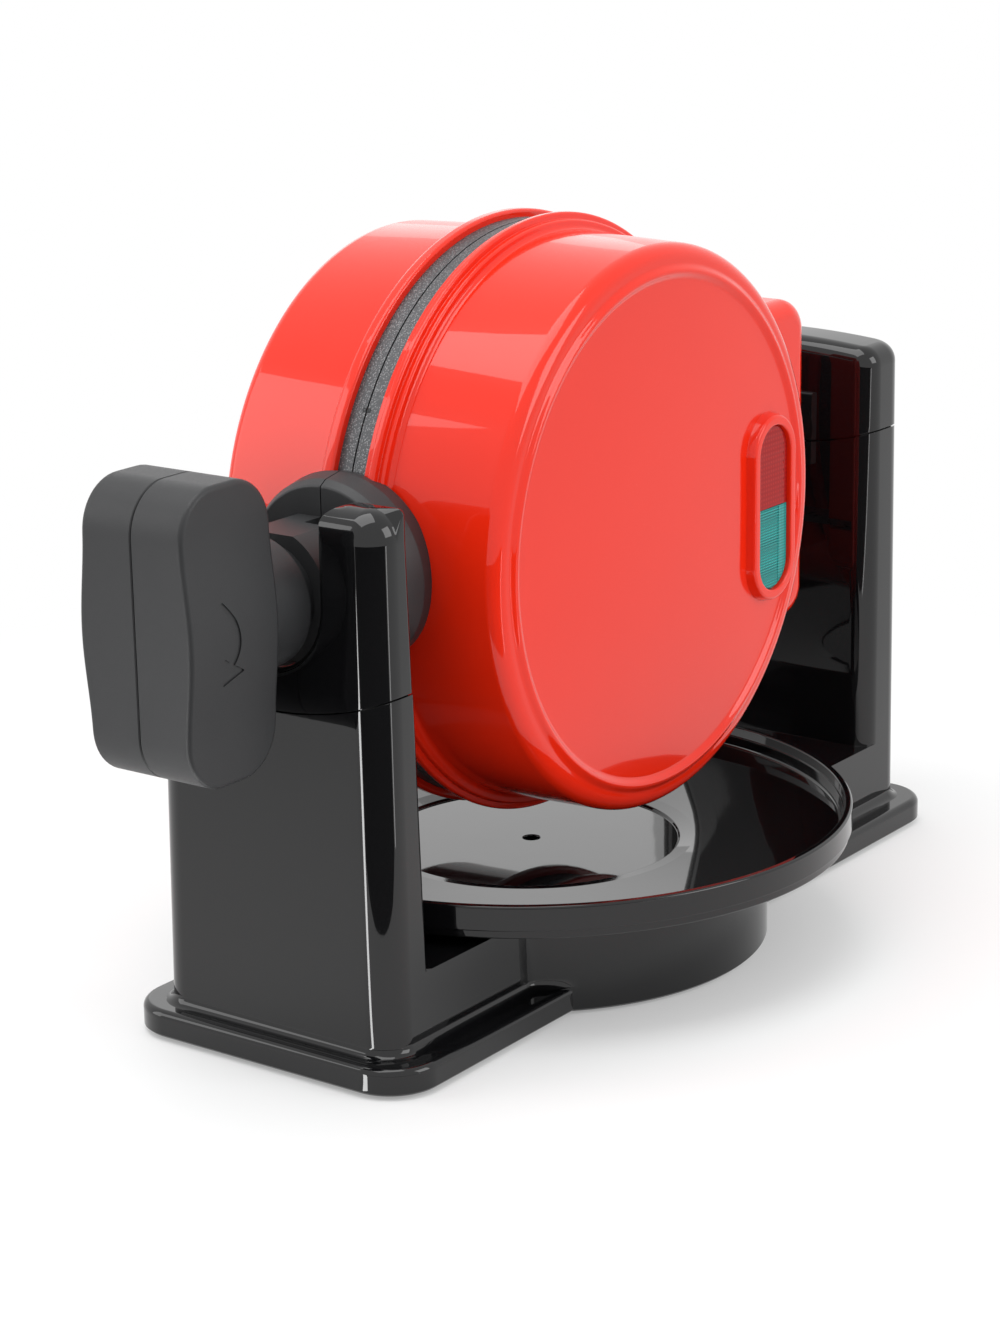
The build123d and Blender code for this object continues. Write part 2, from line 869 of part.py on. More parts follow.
plate_screws = [
    (plate_screw_circle * cos(radians(angle)), plate_screw_circle * sin(radians(angle)))
    for angle in plate_screw_angles
]
shield_screws = [
    (plate_post_circle * cos(radians(angle)), plate_post_circle * sin(radians(angle)))
    for angle in (45, 135, 225, 315)
]

with BuildPart() as lid_housing:
    add(lid_envelope)
    add(half_hollow.part, mode=Mode.SUBTRACT)
    # Window of the lamps
    with BuildSketch(across(face_x - 2 * head_wall)):
        with Locations((lamp_y, -lamp_drop)):
            SlotOverall(lens_height + 2 * window_step, lens_width + 2 * window_step, rotation=90)
    extrude(amount=4 * head_wall, mode=Mode.SUBTRACT)
    # Slots that the arms pass through as the lid opens, as far forward as the arms' tips swing
    slot_front = pin_y - (arm_tip_x - pin_x) - arm_slot_gap
    slot_outer = pin_x + arm_half_width + arm_slot_gap
    for height in (-arm_z, arm_z):
        with BuildSketch(level(axis_height + height - arm_thickness / 2 - arm_slot_gap)):
            with BuildLine():
                Polyline(
                    (flange_outer_x - fuse, slot_front),
                    (slot_outer, slot_front),
                    (slot_outer, box_back_y + fuse),
                    (flange_outer_x - fuse, box_back_y + fuse),
                    close=True,
                )
            make_face()
        extrude(amount=arm_thickness + 2 * arm_slot_gap, mode=Mode.SUBTRACT)
    with BuildSketch(across(0)):
        with Locations(*plate_screws):
            Circle(screw_shank)
    extrude(amount=flange_outer_x - fuse, mode=Mode.SUBTRACT)
finish(lid_housing.part, "lid_housing")

with BuildPart() as fixed_housing:
    add(fixed_envelope)
    add(mirror(half_hollow.part, about=Plane.YZ), mode=Mode.SUBTRACT)
    for height in (-arm_z, arm_z):
        with BuildSketch(level(axis_height + height - arm_thickness / 2)):
            with Locations((-flange_outer_x - head_wall / 2, pin_y)):
                Rectangle(2 * head_wall, 2 * arm_half_width)
        extrude(amount=arm_thickness, mode=Mode.SUBTRACT)
    with BuildSketch(across(0)):
        with Locations(*plate_screws):
            Circle(screw_shank)
    extrude(amount=-flange_outer_x + fuse, mode=Mode.SUBTRACT)
finish(fixed_housing.part, "fixed_housing")

# Waffle plates

with BuildPart() as plate_blank:
    with BuildSketch(facing(0)):
        with BuildLine():
            Polyline(
                (parting_gap, cup_radius),
                (parting_gap, plate_radius),
                (flange_inner_x, plate_radius),
                (flange_inner_x, housing_root_inner - plate_seat_gap),
                (cup_floor_x + plate_thickness, cup_radius + cup_wall),
                (cup_floor_x + plate_thickness, 0),
                (cup_floor_x, 0),
                (cup_floor_x, cup_radius - cup_draft),
                (parting_gap, cup_radius),
            )
        make_face()
    revolve(axis=round_axis)
    # Studs that press the pockets of the waffle, cut into quarters by two ribs
    studs = [
        (stud_pitch * (i + 0.5) * side_y, stud_pitch * (j + 0.5) * side_z)
        for i in range(stud_rows)
        for j in range(stud_rows)
        for side_y in (-1, 1)
        for side_z in (-1, 1)
        if stud_pitch * sqrt((i + 0.5) ** 2 + (j + 0.5) ** 2) < stud_field_radius
    ]
    with BuildSketch(across(cup_floor_x)):
        with Locations(*studs):
            Rectangle(stud_size, stud_size)
    extrude(amount=-stud_height, taper=stud_draft)
    with BuildSketch(across(cup_floor_x)):
        Rectangle(2 * cup_radius, rib_width)
        Rectangle(rib_width, 2 * cup_radius)
    extrude(amount=-stud_height)
    # Posts behind the plate that carry the heat shield
    with BuildSketch(across(cup_floor_x + plate_thickness)):
        with Locations(*shield_screws):
            Circle(plate_post_radius)
            Circle(screw_shank, mode=Mode.SUBTRACT)
    extrude(amount=shield_x - cup_floor_x - plate_thickness)
    # Countersunk holes in the rim
    with BuildSketch(across(parting_gap)):
        with Locations(*plate_screws):
            Circle(screw_shank)
    extrude(amount=flange_inner_x, mode=Mode.SUBTRACT)
    with BuildSketch(across(parting_gap)):
        with Locations(*plate_screws):
            Circle(screw_head)
    extrude(amount=screw_head_height, mode=Mode.SUBTRACT)

with BuildPart() as plate_screw_set:
    with BuildSketch(across(parting_gap)):
        with Locations(*plate_screws):
            Circle(screw_head)
    extrude(amount=screw_head_height)
    with BuildSketch(across(parting_gap)):
        with Locations(*plate_screws):
            Circle(screw_shank)
    extrude(amount=plate_screw_length)

with BuildPart() as heater_blank:
    start = heater_opening / 2
    with BuildLine(across(cup_floor_x + plate_thickness + heater_tube_radius)) as loop:
        CenterArc((0, 0), heater_radius, start, 360 - heater_opening)
    with BuildSketch(Plane(origin=loop.line @ 0, z_dir=loop.line % 0)):
        Circle(heater_tube_radius)
    sweep()
    for angle in (start, -start):
        with BuildSketch(across(cup_floor_x + plate_thickness + heater_tube_radius)):
            with Locations((heater_radius * cos(radians(angle)), heater_radius * sin(radians(angle)))):
                Circle(heater_tube_radius)
        extrude(amount=terminal_length)

with BuildPart() as shield_blank:
    with BuildSketch(facing(0)):
        with BuildLine():
            Polyline(
                (shield_x, 0),
                (shield_x, shield_radius),
                (shield_x - shield_lip, shield_radius),
                (shield_x - shield_lip, shield_radius + shield_thickness),
                (shield_x + shield_thickness, shield_radius + shield_thickness),
                (shield_x + shield_thickness, 0),
                close=True,
            )
        make_face()
    revolve(axis=round_axis)
    with BuildSketch(across(shield_x)):
        with Locations(*shield_screws):
            Circle(screw_shank)
        with Locations(
            *[
                (heater_radius * cos(radians(angle)), heater_radius * sin(radians(angle)))
                for angle in (heater_opening / 2, -heater_opening / 2)
            ]
        ):
            Circle(heater_tube_radius + terminal_gap)
    extrude(amount=shield_thickness, mode=Mode.SUBTRACT)

with BuildPart() as shield_screw_set:
    with BuildSketch(across(shield_x + shield_thickness)):
        with Locations(*shield_screws):
            Circle(screw_head)
    extrude(amount=screw_head_height)
    with BuildSketch(across(shield_x + shield_thickness)):
        with Locations(*shield_screws):
            Circle(screw_shank)
    extrude(amount=-shield_screw_length)

for half_name in ("lid", "fixed"):
    for blank, piece_name in (
        (plate_blank, "plate"),
        (plate_screw_set, "plate_screws"),
        (heater_blank, "heater"),
        (shield_blank, "heat_shield"),
        (shield_screw_set, "shield_screws"),
    ):
        with BuildPart() as half_piece:
            if half_name == "lid":
                add(blank.part)
            else:
                add(mirror(blank.part, about=Plane.YZ))
        finish(half_piece.part, f"{half_name}_{piece_name}")

with BuildPart() as thermostat:
    with BuildSketch(across(-shield_x - shield_thickness)):
        with Locations((thermostat_y, 0)):
            Circle(thermostat_radius)
    extrude(amount=-thermostat_can)
    with BuildSketch(across(-shield_x - shield_thickness - thermostat_can)):
        with Locations((thermostat_y, 0)):
            RectangleRounded(thermostat_cap_length, thermostat_cap_width, thermostat_cap_corner)
    extrude(amount=-thermostat_cap)
finish(thermostat.part, "thermostat")

with BuildPart() as thermal_fuse:
    with BuildSketch(level(axis_height - fuse_drop)):
        with Locations((-shield_x - shield_thickness - fuse_radius, fuse_y)):
            Circle(fuse_radius)
    extrude(amount=fuse_length)
finish(thermal_fuse.part, "thermal_fuse")

# Hinge between the halves

with BuildPart() as hinge_bracket:
    for height in (-arm_z, arm_z):
        with BuildSketch(level(axis_height + height - arm_thickness / 2)):
            with Locations(((arm_tip_x - arm_half_width - arm_root_x) / 2, pin_y)):
                Rectangle(arm_tip_x - arm_half_width + arm_root_x, 2 * arm_half_width)
            with Locations((arm_tip_x - arm_half_width, pin_y)):
                Circle(arm_half_width)
            with Locations((pin_x + float_travel / 2, pin_y)):
                SlotCenterToCenter(float_travel, 2 * (pin_radius + pin_clearance), mode=Mode.SUBTRACT)
        extrude(amount=arm_thickness)
    with BuildSketch(across(-arm_root_x)):
        with Locations((pin_y, 0)):
            Rectangle(2 * arm_half_width, 2 * arm_z + arm_thickness)
        with Locations((pin_y, bracket_screw_z), (pin_y, -bracket_screw_z)):
            Circle(screw_shank, mode=Mode.SUBTRACT)
    extrude(amount=arm_thickness)
finish(hinge_bracket.part, "hinge_bracket")

with BuildPart() as bracket_screws:
    with BuildSketch(across(-arm_root_x + arm_thickness)):
        with Locations((pin_y, bracket_screw_z), (pin_y, -bracket_screw_z)):
            Circle(screw_head)
    extrude(amount=screw_head_height)
    with BuildSketch(across(-arm_root_x + arm_thickness)):
        with Locations((pin_y, bracket_screw_z), (pin_y, -bracket_screw_z)):
            Circle(screw_shank)
    extrude(amount=-arm_thickness - box_outer_x + head_wall + arm_root_x)
finish(bracket_screws.part, "bracket_screws")

with BuildPart() as hinge_pin:
    with BuildSketch(level(axis_height - pin_half_length)):
        with Locations((pin_x, pin_y)):
            Circle(pin_radius)
    extrude(amount=2 * pin_half_length)
    chamfer(hinge_pin.edges().filter_by(GeomType.CIRCLE), pin_chamfer)
finish(hinge_pin.part, "hinge_pin")

with BuildPart() as pin_clips:
    for height in (clip_z, -clip_z - clip_thickness):
        with BuildSketch(level(axis_height + height)):
            with Locations((pin_x, pin_y)):
                Circle(clip_radius)
                Circle(pin_radius, mode=Mode.SUBTRACT)
        extrude(amount=clip_thickness)
finish(pin_clips.part, "pin_clips")

with BuildPart() as lid_hinge_blocks:
    for height in (block_z, -block_z - block_height):
        with BuildSketch(level(axis_height + height)):
            with Locations(((box_inner_x + box_outer_x - head_wall) / 2, pin_y + block_shift)):
                Rectangle(box_outer_x - head_wall - box_inner_x - 2 * block_gap, block_depth)
            with Locations((pin_x, pin_y)):
                Circle(pin_radius + pin_clearance, mode=Mode.SUBTRACT)
        extrude(amount=block_height)
finish(lid_hinge_blocks.part, "lid_hinge_blocks")

# Rear pivot on the head

with BuildPart() as shaft_carrier:
    with BuildSketch(level(axis_height - carrier_half_height)):
        with BuildLine():
            Polyline(
                (-carrier_outer_x, box_back_y),
                (-carrier_inner_x, box_back_y),
                (-carrier_inner_x, carrier_web_y),
                (carrier_half_height, carrier_web_y),
                (carrier_half_height, carrier_web_y + carrier_web),
                (-carrier_outer_x, carrier_web_y + carrier_web),
                close=True,
            )
        make_face()
    extrude(amount=2 * carrier_half_height)
    with BuildSketch(facing(carrier_web_y + carrier_web)):
        Circle(shaft_radius)
    extrude(amount=-(shaft_end_y - carrier_web_y - carrier_web))
    with BuildSketch(facing(carrier_web_y)):
        Circle(shaft_bore)
    extrude(amount=-(shaft_end_y - carrier_web_y), mode=Mode.SUBTRACT)
    fillet(shaft_carrier.edges().filter_by(Axis.X).group_by(Axis.Z)[-1], carrier_edge)
finish(shaft_carrier.part, "shaft_carrier")

for piece_name, start_y, length, outer, notched in (
    ("shaft_sleeve", carrier_web_y + carrier_web, sleeve_length, sleeve_radius, False),
    ("notched_disc", disc_y, disc_thickness, disc_radius, True),
    ("shaft_nut", nut_y, nut_thickness, nut_radius, False),
):
    with BuildPart() as ring:
        with BuildSketch(facing(start_y)):
            if piece_name == "shaft_nut":
                RegularPolygon(outer, 6, major_radius=False)
            else:
                Circle(outer)
            Circle(shaft_radius, mode=Mode.SUBTRACT)
            if notched:
                with PolarLocations(disc_radius + notch_lift, 4):
                    Circle(notch_radius, mode=Mode.SUBTRACT)
        extrude(amount=-length)
    finish(ring.part, piece_name)

# Collar, one half on each side of the parting plane

with BuildPart() as plate_space:
    with BuildSketch(across(-flange_inner_x)):
        Circle(plate_radius + plate_seat_gap)
    extrude(amount=2 * flange_inner_x)

with BuildPart() as collar_blank:
    with BuildSketch(across(0)):
        with BuildLine():
            Polyline(
                (-collar_rear, 0),
                (-collar_rear, collar_radius - collar_rear_step),
                (-collar_widest, collar_radius),
                (-collar_front + collar_chamfer_length, collar_front_radius + collar_chamfer),
                (-collar_front, collar_front_radius),
                (-collar_front, 0),
                close=True,
            )
        make_face()
    revolve(axis=flip_axis)
    add(plate_space.part, mode=Mode.SUBTRACT)

tab_low = journal_flat - tab_thickness

with BuildPart() as collar_lid:
    add(collar_blank.part)
    with BuildSketch(across(seam_half)):
        Circle(2 * collar_front)
    extrude(amount=collar_front, mode=Mode.INTERSECT)
    # Two tabs that reach over the journal and line the halves up
    with BuildSketch(facing(-collar_front)):
        Circle(journal_radius)
        Rectangle(2 * journal_radius, 2 * journal_flat, mode=Mode.INTERSECT)
        Rectangle(2 * journal_radius, 2 * tab_low, mode=Mode.SUBTRACT)
        with Locations((-journal_radius + seam_half, 0)):
            Rectangle(2 * journal_radius, 2 * journal_radius, mode=Mode.SUBTRACT)
    extrude(amount=tab_front - collar_front)
    add(lid_envelope, mode=Mode.SUBTRACT)
finish(collar_lid.part, "collar_lid")

with BuildPart() as collar_fixed:
    add(collar_blank.part)
    with BuildSketch(across(-seam_half)):
        Circle(2 * collar_front)
    extrude(amount=-collar_front, mode=Mode.INTERSECT)
    add(fixed_envelope, mode=Mode.SUBTRACT)
    with BuildSketch(facing(-collar_rear)):
        with Locations((-stem_screw_x, stem_screw_z), (-stem_screw_x, -stem_screw_z)):
            Circle(screw_shank)
    extrude(amount=collar_front - collar_rear, mode=Mode.SUBTRACT)
    with BuildSketch(facing(-collar_rear)):
        with Locations((-stem_screw_x, stem_screw_z), (-stem_screw_x, -stem_screw_z)):
            Circle(screw_head)
    extrude(amount=collar_front - collar_rear - stem_screw_seat, mode=Mode.SUBTRACT)
finish(collar_fixed.part, "collar_fixed")

with BuildPart() as stem_screws:
    with BuildSketch(facing(-collar_front + stem_screw_seat)):
        with Locations((-stem_screw_x, stem_screw_z), (-stem_screw_x, -stem_screw_z)):
            Circle(screw_head)
    extrude(amount=-stem_screw_head)
    with BuildSketch(facing(-collar_front + stem_screw_seat)):
        with Locations((-stem_screw_x, stem_screw_z), (-stem_screw_x, -stem_screw_z)):
            Circle(screw_shank)
    extrude(amount=stem_screw_seat + stem_screw_bite)
finish(stem_screws.part, "stem_screws")

with BuildPart() as handle_stem:
    with BuildSketch(facing(-collar_front)):
        Circle(journal_radius)
        Rectangle(2 * journal_radius, 2 * journal_flat, mode=Mode.INTERSECT)
    extrude(amount=journal_front - collar_front)
    with BuildSketch(facing(-journal_front)):
        Circle(groove_radius)
    extrude(amount=groove_front - journal_front)
    with BuildSketch(facing(-groove_front)):
        Circle(neck_radius)
    extrude(amount=grip_rear - groove_front)
    with BuildSketch(facing(-collar_front)):
        Circle(stem_bore)
        with Locations((-stem_screw_x, stem_screw_z), (-stem_screw_x, -stem_screw_z)):
            Circle(screw_shank)
    extrude(amount=stem_screw_bite, mode=Mode.SUBTRACT)
    with BuildSketch(facing(-collar_front - stem_screw_bite)):
        Circle(stem_bore)
    extrude(amount=grip_rear - collar_front - stem_screw_bite, mode=Mode.SUBTRACT)
    # The lid's collar and tabs swing forward a little as they leave, so their seats slant away
    with BuildSketch(level(axis_height - journal_radius)):
        with BuildLine():
            Polyline(
                (-seam_half, -collar_front + fuse),
                (-seam_half, -collar_front - tab_gap),
                (swing_relief_x, -collar_front - tab_gap - swing_relief),
                (journal_radius + fuse, -collar_front - tab_relief),
                (journal_radius + fuse, -collar_front + fuse),
                close=True,
            )
        make_face()
    extrude(amount=2 * journal_radius, mode=Mode.SUBTRACT)
    for foot in (tab_low - tab_gap, -journal_radius):
        with BuildSketch(level(axis_height + foot)):
            with BuildLine():
                Polyline(
                    (-seam_half, -collar_front + fuse),
                    (-seam_half, -tab_front - tab_gap),
                    (swing_relief_x, -tab_front - tab_gap - swing_relief),
                    (journal_radius + fuse, -tab_front - tab_relief),
                    (journal_radius + fuse, -collar_front + fuse),
                    close=True,
                )
            make_face()
        extrude(amount=journal_radius - tab_low + tab_gap, mode=Mode.SUBTRACT)
finish(handle_stem.part, "handle_stem")

# Grip

grip_depth = front_reach - grip_rear
grip_middle = -(front_reach + grip_rear) / 2
swell_bulge = (grip_half_middle - grip_half_end) / 2
swell_radius = ((grip_swell / 2) ** 2 + swell_bulge**2) / (2 * swell_bulge)

with BuildPart() as grip_blank:
    with BuildSketch(across(0)):
        with Locations((grip_middle, 0)):
            RectangleRounded(grip_depth, 2 * grip_half_height, grip_corner)
    extrude(amount=2 * grip_half_middle, both=True)
    with BuildSketch(facing(-grip_rear)):
        with BuildLine():
            quarter = grip_swell / 2
            middle = grip_half_end + swell_bulge
            RadiusArc((middle, quarter), (middle, -quarter), swell_radius)
            RadiusArc((middle, -quarter), (grip_half_end, -grip_swell), -swell_radius)
            Polyline(
                (grip_half_end, -grip_swell),
                (grip_half_end, -grip_half_height),
                (0, -grip_half_height),
                (0, grip_half_height),
                (grip_half_end, grip_half_height),
                (grip_half_end, grip_swell),
            )
            RadiusArc((grip_half_end, grip_swell), (middle, quarter), -swell_radius)
        make_face()
        mirror(about=Plane.YZ)
    extrude(amount=grip_depth, mode=Mode.INTERSECT)

with BuildPart() as grip_hollow:
    with BuildSketch(across(0)):
        with Locations((grip_middle, 0)):
            RectangleRounded(
                grip_depth - 2 * grip_wall, 2 * (grip_half_height - grip_wall), grip_corner - grip_wall
            )
    extrude(amount=grip_half_end - grip_wall, both=True)

for side, piece_name in ((1, "grip_right"), (-1, "grip_left")):
    with BuildPart() as grip_shell:
        add(grip_blank.part)
        with BuildSketch(across(side * grip_seam / 2)):
            with Locations((grip_middle, 0)):
                Rectangle(2 * grip_depth, 4 * grip_half_height)
        extrude(amount=side * 2 * grip_half_middle, mode=Mode.INTERSECT)
        add(grip_hollow.part, mode=Mode.SUBTRACT)
        with BuildSketch(facing(-grip_rear + fuse)):
            Circle(stem_bore)
        extrude(amount=grip_wall + 2 * fuse, mode=Mode.SUBTRACT)
        if side > 0:
            with BuildSketch(across(grip_half_middle - arrow_depth)):
                with BuildLine():
                    Polyline(*arrow_head, close=True)
                make_face()
                with BuildLine():
                    shaft_line = ThreePointArc(*arrow_shaft)
                trace(shaft_line, arrow_width)
            extrude(amount=2 * arrow_depth, mode=Mode.SUBTRACT)
        else:
            with BuildSketch(across(-grip_half_middle - fuse)):
                with Locations(*grip_screw_places):
                    Circle(screw_head + screw_head_gap)
            extrude(amount=grip_half_middle - grip_half_end + fuse + grip_wall / 2, mode=Mode.SUBTRACT)
            with BuildSketch(across(-grip_half_middle - fuse)):
                with Locations(*grip_screw_places):
                    Circle(screw_shank)
            extrude(amount=grip_half_middle, mode=Mode.SUBTRACT)
    finish(grip_shell.part, piece_name)

with BuildPart() as grip_core:
    with BuildSketch(facing(-grip_rear + grip_core_inset)):
        Circle(stem_bore)
    extrude(amount=grip_core_inset + grip_wall + 2 * grip_core_gap)
    with BuildSketch(facing(-grip_rear - grip_wall - grip_core_gap)):
        RectangleRounded(
            2 * (grip_half_end - grip_wall - grip_core_gap), 2 * grip_core_half_height, grip_core_corner
        )
    extrude(amount=grip_depth - 2 * grip_wall - 3 * grip_core_gap)
    with BuildSketch(across(-grip_half_end)):
        with Locations(*grip_screw_places):
            Circle(screw_shank)
    extrude(amount=grip_half_end, mode=Mode.SUBTRACT)
finish(grip_core.part, "grip_core")

with BuildPart() as grip_screws:
    head_x = -grip_half_end + grip_wall / 2
    with BuildSketch(across(head_x)):
        with Locations(*grip_screw_places):
            Circle(screw_head)
    extrude(amount=-screw_head_height)
    with BuildSketch(across(head_x)):
        with Locations(*grip_screw_places):
            Circle(screw_shank)
    extrude(amount=grip_screw_length)
finish(grip_screws.part, "grip_screws")

# Lamp window

with BuildPart() as lamp_bezel:
    with BuildSketch(across(face_x)):
        with Locations((lamp_y, -lamp_drop)):
            SlotOverall(
                lens_height + 2 * (bezel_rim + bezel_flare),
                lens_width + 2 * (bezel_rim + bezel_flare),
                rotation=90,
            )
    with BuildSketch(across(face_x + bezel_height)):
        with Locations((lamp_y, -lamp_drop)):
            SlotOverall(lens_height + 2 * bezel_rim, lens_width + 2 * bezel_rim, rotation=90)
    loft(ruled=True)
    fillet(lamp_bezel.faces().sort_by(Axis.X)[-1].edges(), bezel_round)
    with BuildSketch(across(face_x - head_wall)):
        with Locations((lamp_y, -lamp_drop)):
            SlotOverall(lens_height + 2 * window_step, lens_width + 2 * window_step, rotation=90)
    extrude(amount=head_wall)
    with BuildSketch(across(face_x - head_wall)):
        with Locations((lamp_y, -lamp_drop)):
            SlotOverall(lens_height, lens_width, rotation=90)
    extrude(amount=2 * bezel_height + head_wall, mode=Mode.SUBTRACT)
finish(lamp_bezel.part, "lamp_bezel")

for side, piece_name in ((1, "red_lens"), (-1, "green_lens")):
    with BuildPart() as lens:
        with BuildSketch(across(face_x + lens_proud - lens_thickness)):
            with Locations((lamp_y, -lamp_drop)):
                SlotOverall(
                    lens_height - 2 * lens_clearance, lens_width - 2 * lens_clearance, rotation=90
                )
            with Locations((lamp_y, -lamp_drop - side * (lens_height / 2 - lens_clearance / 2))):
                Rectangle(2 * lens_width, lens_height, mode=Mode.SUBTRACT)
        extrude(amount=lens_thickness)
    finish(lens.part, piece_name)

with BuildPart() as lamp_holder:
    with BuildSketch(across(holder_x)):
        with Locations((lamp_y, -lamp_drop)):
            SlotOverall(
                lens_height + 2 * (holder_room + holder_wall),
                lens_width + 2 * (holder_room + holder_wall),
                rotation=90,
            )
    extrude(amount=face_x - head_wall - holder_x)
    with BuildSketch(across(holder_x + holder_wall)):
        with Locations((lamp_y, -lamp_drop)):
            SlotOverall(lens_height + 2 * holder_room, lens_width + 2 * holder_room, rotation=90)
    extrude(amount=face_x, mode=Mode.SUBTRACT)
    with BuildSketch(across(holder_x)):
        with Locations(*lamp_places):
            Circle(lamp_bulb_radius)
    extrude(amount=holder_wall, mode=Mode.SUBTRACT)
finish(lamp_holder.part, "lamp_holder")

with BuildPart() as lamps:
    with BuildSketch(across(holder_x)):
        with Locations(*lamp_places):
            Circle(lamp_bulb_radius)
    extrude(amount=lamp_bulb_length)
    fillet(lamps.faces().group_by(Axis.X)[-1].edges(), lamp_bulb_radius - lamp_tip_flat)
finish(lamps.part, "lamps")
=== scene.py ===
# %% [markdown]
# # A flip waffle maker, dressed for the camera
#
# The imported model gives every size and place. This script lays finer surfaces over it, gives each one a
# material, and lights the whole as a studio product picture.

# %% Load the frame
import json
from math import atan2, ceil, cos, degrees, hypot, pi, radians, sin, sqrt, tan

import bmesh
import bpy
from mathutils import Matrix, Vector


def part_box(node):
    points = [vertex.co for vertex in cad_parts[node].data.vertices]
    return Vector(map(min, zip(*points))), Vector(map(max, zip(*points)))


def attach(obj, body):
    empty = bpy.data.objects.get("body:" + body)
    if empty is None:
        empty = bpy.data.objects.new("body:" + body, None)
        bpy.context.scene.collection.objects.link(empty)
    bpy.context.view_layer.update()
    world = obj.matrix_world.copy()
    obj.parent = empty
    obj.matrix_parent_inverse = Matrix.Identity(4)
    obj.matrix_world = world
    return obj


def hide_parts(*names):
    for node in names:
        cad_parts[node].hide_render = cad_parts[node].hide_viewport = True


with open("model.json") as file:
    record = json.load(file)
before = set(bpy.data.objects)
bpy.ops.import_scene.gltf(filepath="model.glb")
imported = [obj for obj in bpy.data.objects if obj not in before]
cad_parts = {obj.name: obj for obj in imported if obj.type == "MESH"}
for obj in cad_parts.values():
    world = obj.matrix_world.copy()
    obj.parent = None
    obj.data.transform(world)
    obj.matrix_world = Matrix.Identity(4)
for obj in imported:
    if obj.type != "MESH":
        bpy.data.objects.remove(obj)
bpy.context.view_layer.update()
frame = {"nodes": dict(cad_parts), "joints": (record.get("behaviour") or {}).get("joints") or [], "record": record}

nodes = frame["nodes"]
MM = 0.001

# %% [markdown]
# ## Places read from the frame
#
# The middle of the head is the hub of everything here. Its two halves are round about a level line through it,
# and the stand's towers carry it front and back.

# %% Landmarks of the model
joints = {joint["name"]: joint for joint in frame["joints"]}
HUB = Vector(joints["head_turn"]["pos_m"])
RIM_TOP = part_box("drip_tray")[1].z / MM
print("hub", [round(v, 4) for v in HUB], "tray's rim at", round(RIM_TOP, 1), "mm")

# %% [markdown]
# ## The camera
#
# The picture is taken with a long lens from the front right, a little above the head. A camera can be aimed with
# a tracking constraint, but its roll would then be free. Here its place and three angles are written out, as they
# were solved from the edges of the stand, the tray and the head.

# %% Camera
CAMERA_PLACE = Vector((0.629873, -0.872585, 0.408803))
CAMERA_AZIMUTH = radians(36.212)
CAMERA_DROP = radians(16.011)
CAMERA_ROLL = radians(-0.994)
SENSOR = 36.0
FOCAL_LENGTH = 85.895


def aim_camera(place, azimuth, drop, roll):
    """Camera at a place, turned by azimuth from +Y towards -X, looking down by drop, rolled about its view."""
    forward = Vector((-sin(azimuth) * cos(drop), cos(azimuth) * cos(drop), -sin(drop)))
    right = forward.cross(Vector((0, 0, 1))).normalized()
    up = right.cross(forward)
    rolled_right = right * cos(roll) + up * sin(roll)
    rolled_up = up * cos(roll) - right * sin(roll)
    turn = Matrix((rolled_right, rolled_up, -forward)).transposed()
    camera = bpy.data.objects.new("camera", bpy.data.cameras.new("camera"))
    bpy.context.scene.collection.objects.link(camera)
    camera.matrix_world = Matrix.Translation(place) @ turn.to_4x4()
    camera.data.sensor_fit = "VERTICAL"
    camera.data.sensor_height = SENSOR
    camera.data.lens = FOCAL_LENGTH
    bpy.context.scene.camera = camera
    return camera


camera = aim_camera(CAMERA_PLACE, CAMERA_AZIMUTH, CAMERA_DROP, CAMERA_ROLL)
print("camera", round((CAMERA_PLACE - HUB).length, 3), "m from the hub")

# %% [markdown]
# ## Material kit
#
# A finish is a small tree of shader nodes. Written out in full, every node and link takes a line, and the finish
# gets lost among them. These helpers add a node by name and join it up, so that each material below reads as a
# short list of what its surface is made of.


# %% Helpers for materials
class Shader:
    """A new material with its principled surface, and short ways to add and join nodes."""

    def __init__(self, name):
        self.material = bpy.data.materials.new(name)
        self.material.use_nodes = True
        self.tree = self.material.node_tree
        self.surface = self.tree.nodes["Principled BSDF"]

    def add(self, kind, inputs=None, **settings):
        node = self.tree.nodes.new(kind)
        for key, value in settings.items():
            setattr(node, key, value)
        for key, value in (inputs or {}).items():
            self.feed(node, key, value)
        return node

    def feed(self, node, key, value):
        if isinstance(value, bpy.types.NodeSocket):
            self.tree.links.new(value, node.inputs[key])
        else:
            node.inputs[key].default_value = value

    def set(self, **values):
        for key, value in values.items():
            self.feed(self.surface, key.replace("_", " "), value)

    def place(self):
        """Coordinates on the object in metres."""
        return self.add("ShaderNodeTexCoord").outputs["Object"]

    def noise(self, scale, detail=3.0, rough=0.55, at=None):
        texture = self.add("ShaderNodeTexNoise", {"Scale": scale, "Detail": detail, "Roughness": rough})
        self.tree.links.new(at or self.place(), texture.inputs["Vector"])
        return texture.outputs["Fac"]

    def ramp(self, value, low, high, start, end):
        """The value between low and high, mapped on to start and end."""
        node = self.add(
            "ShaderNodeMapRange", {"From Min": low, "From Max": high, "To Min": start, "To Max": end}
        )
        self.tree.links.new(value, node.inputs["Value"])
        return node.outputs["Result"]

    def blend(self, factor, first, second):
        node = self.add("ShaderNodeMix", data_type="RGBA")
        self.feed(node, 0, factor)
        self.feed(node, 6, first)
        self.feed(node, 7, second)
        return node.outputs[2]

    def bump(self, height, depth, strength=1.0, normal=None):
        node = self.add("ShaderNodeBump", {"Strength": strength, "Distance": depth})
        self.tree.links.new(height, node.inputs["Height"])
        if normal is not None:
            self.tree.links.new(normal, node.inputs["Normal"])
        return node.outputs["Normal"]


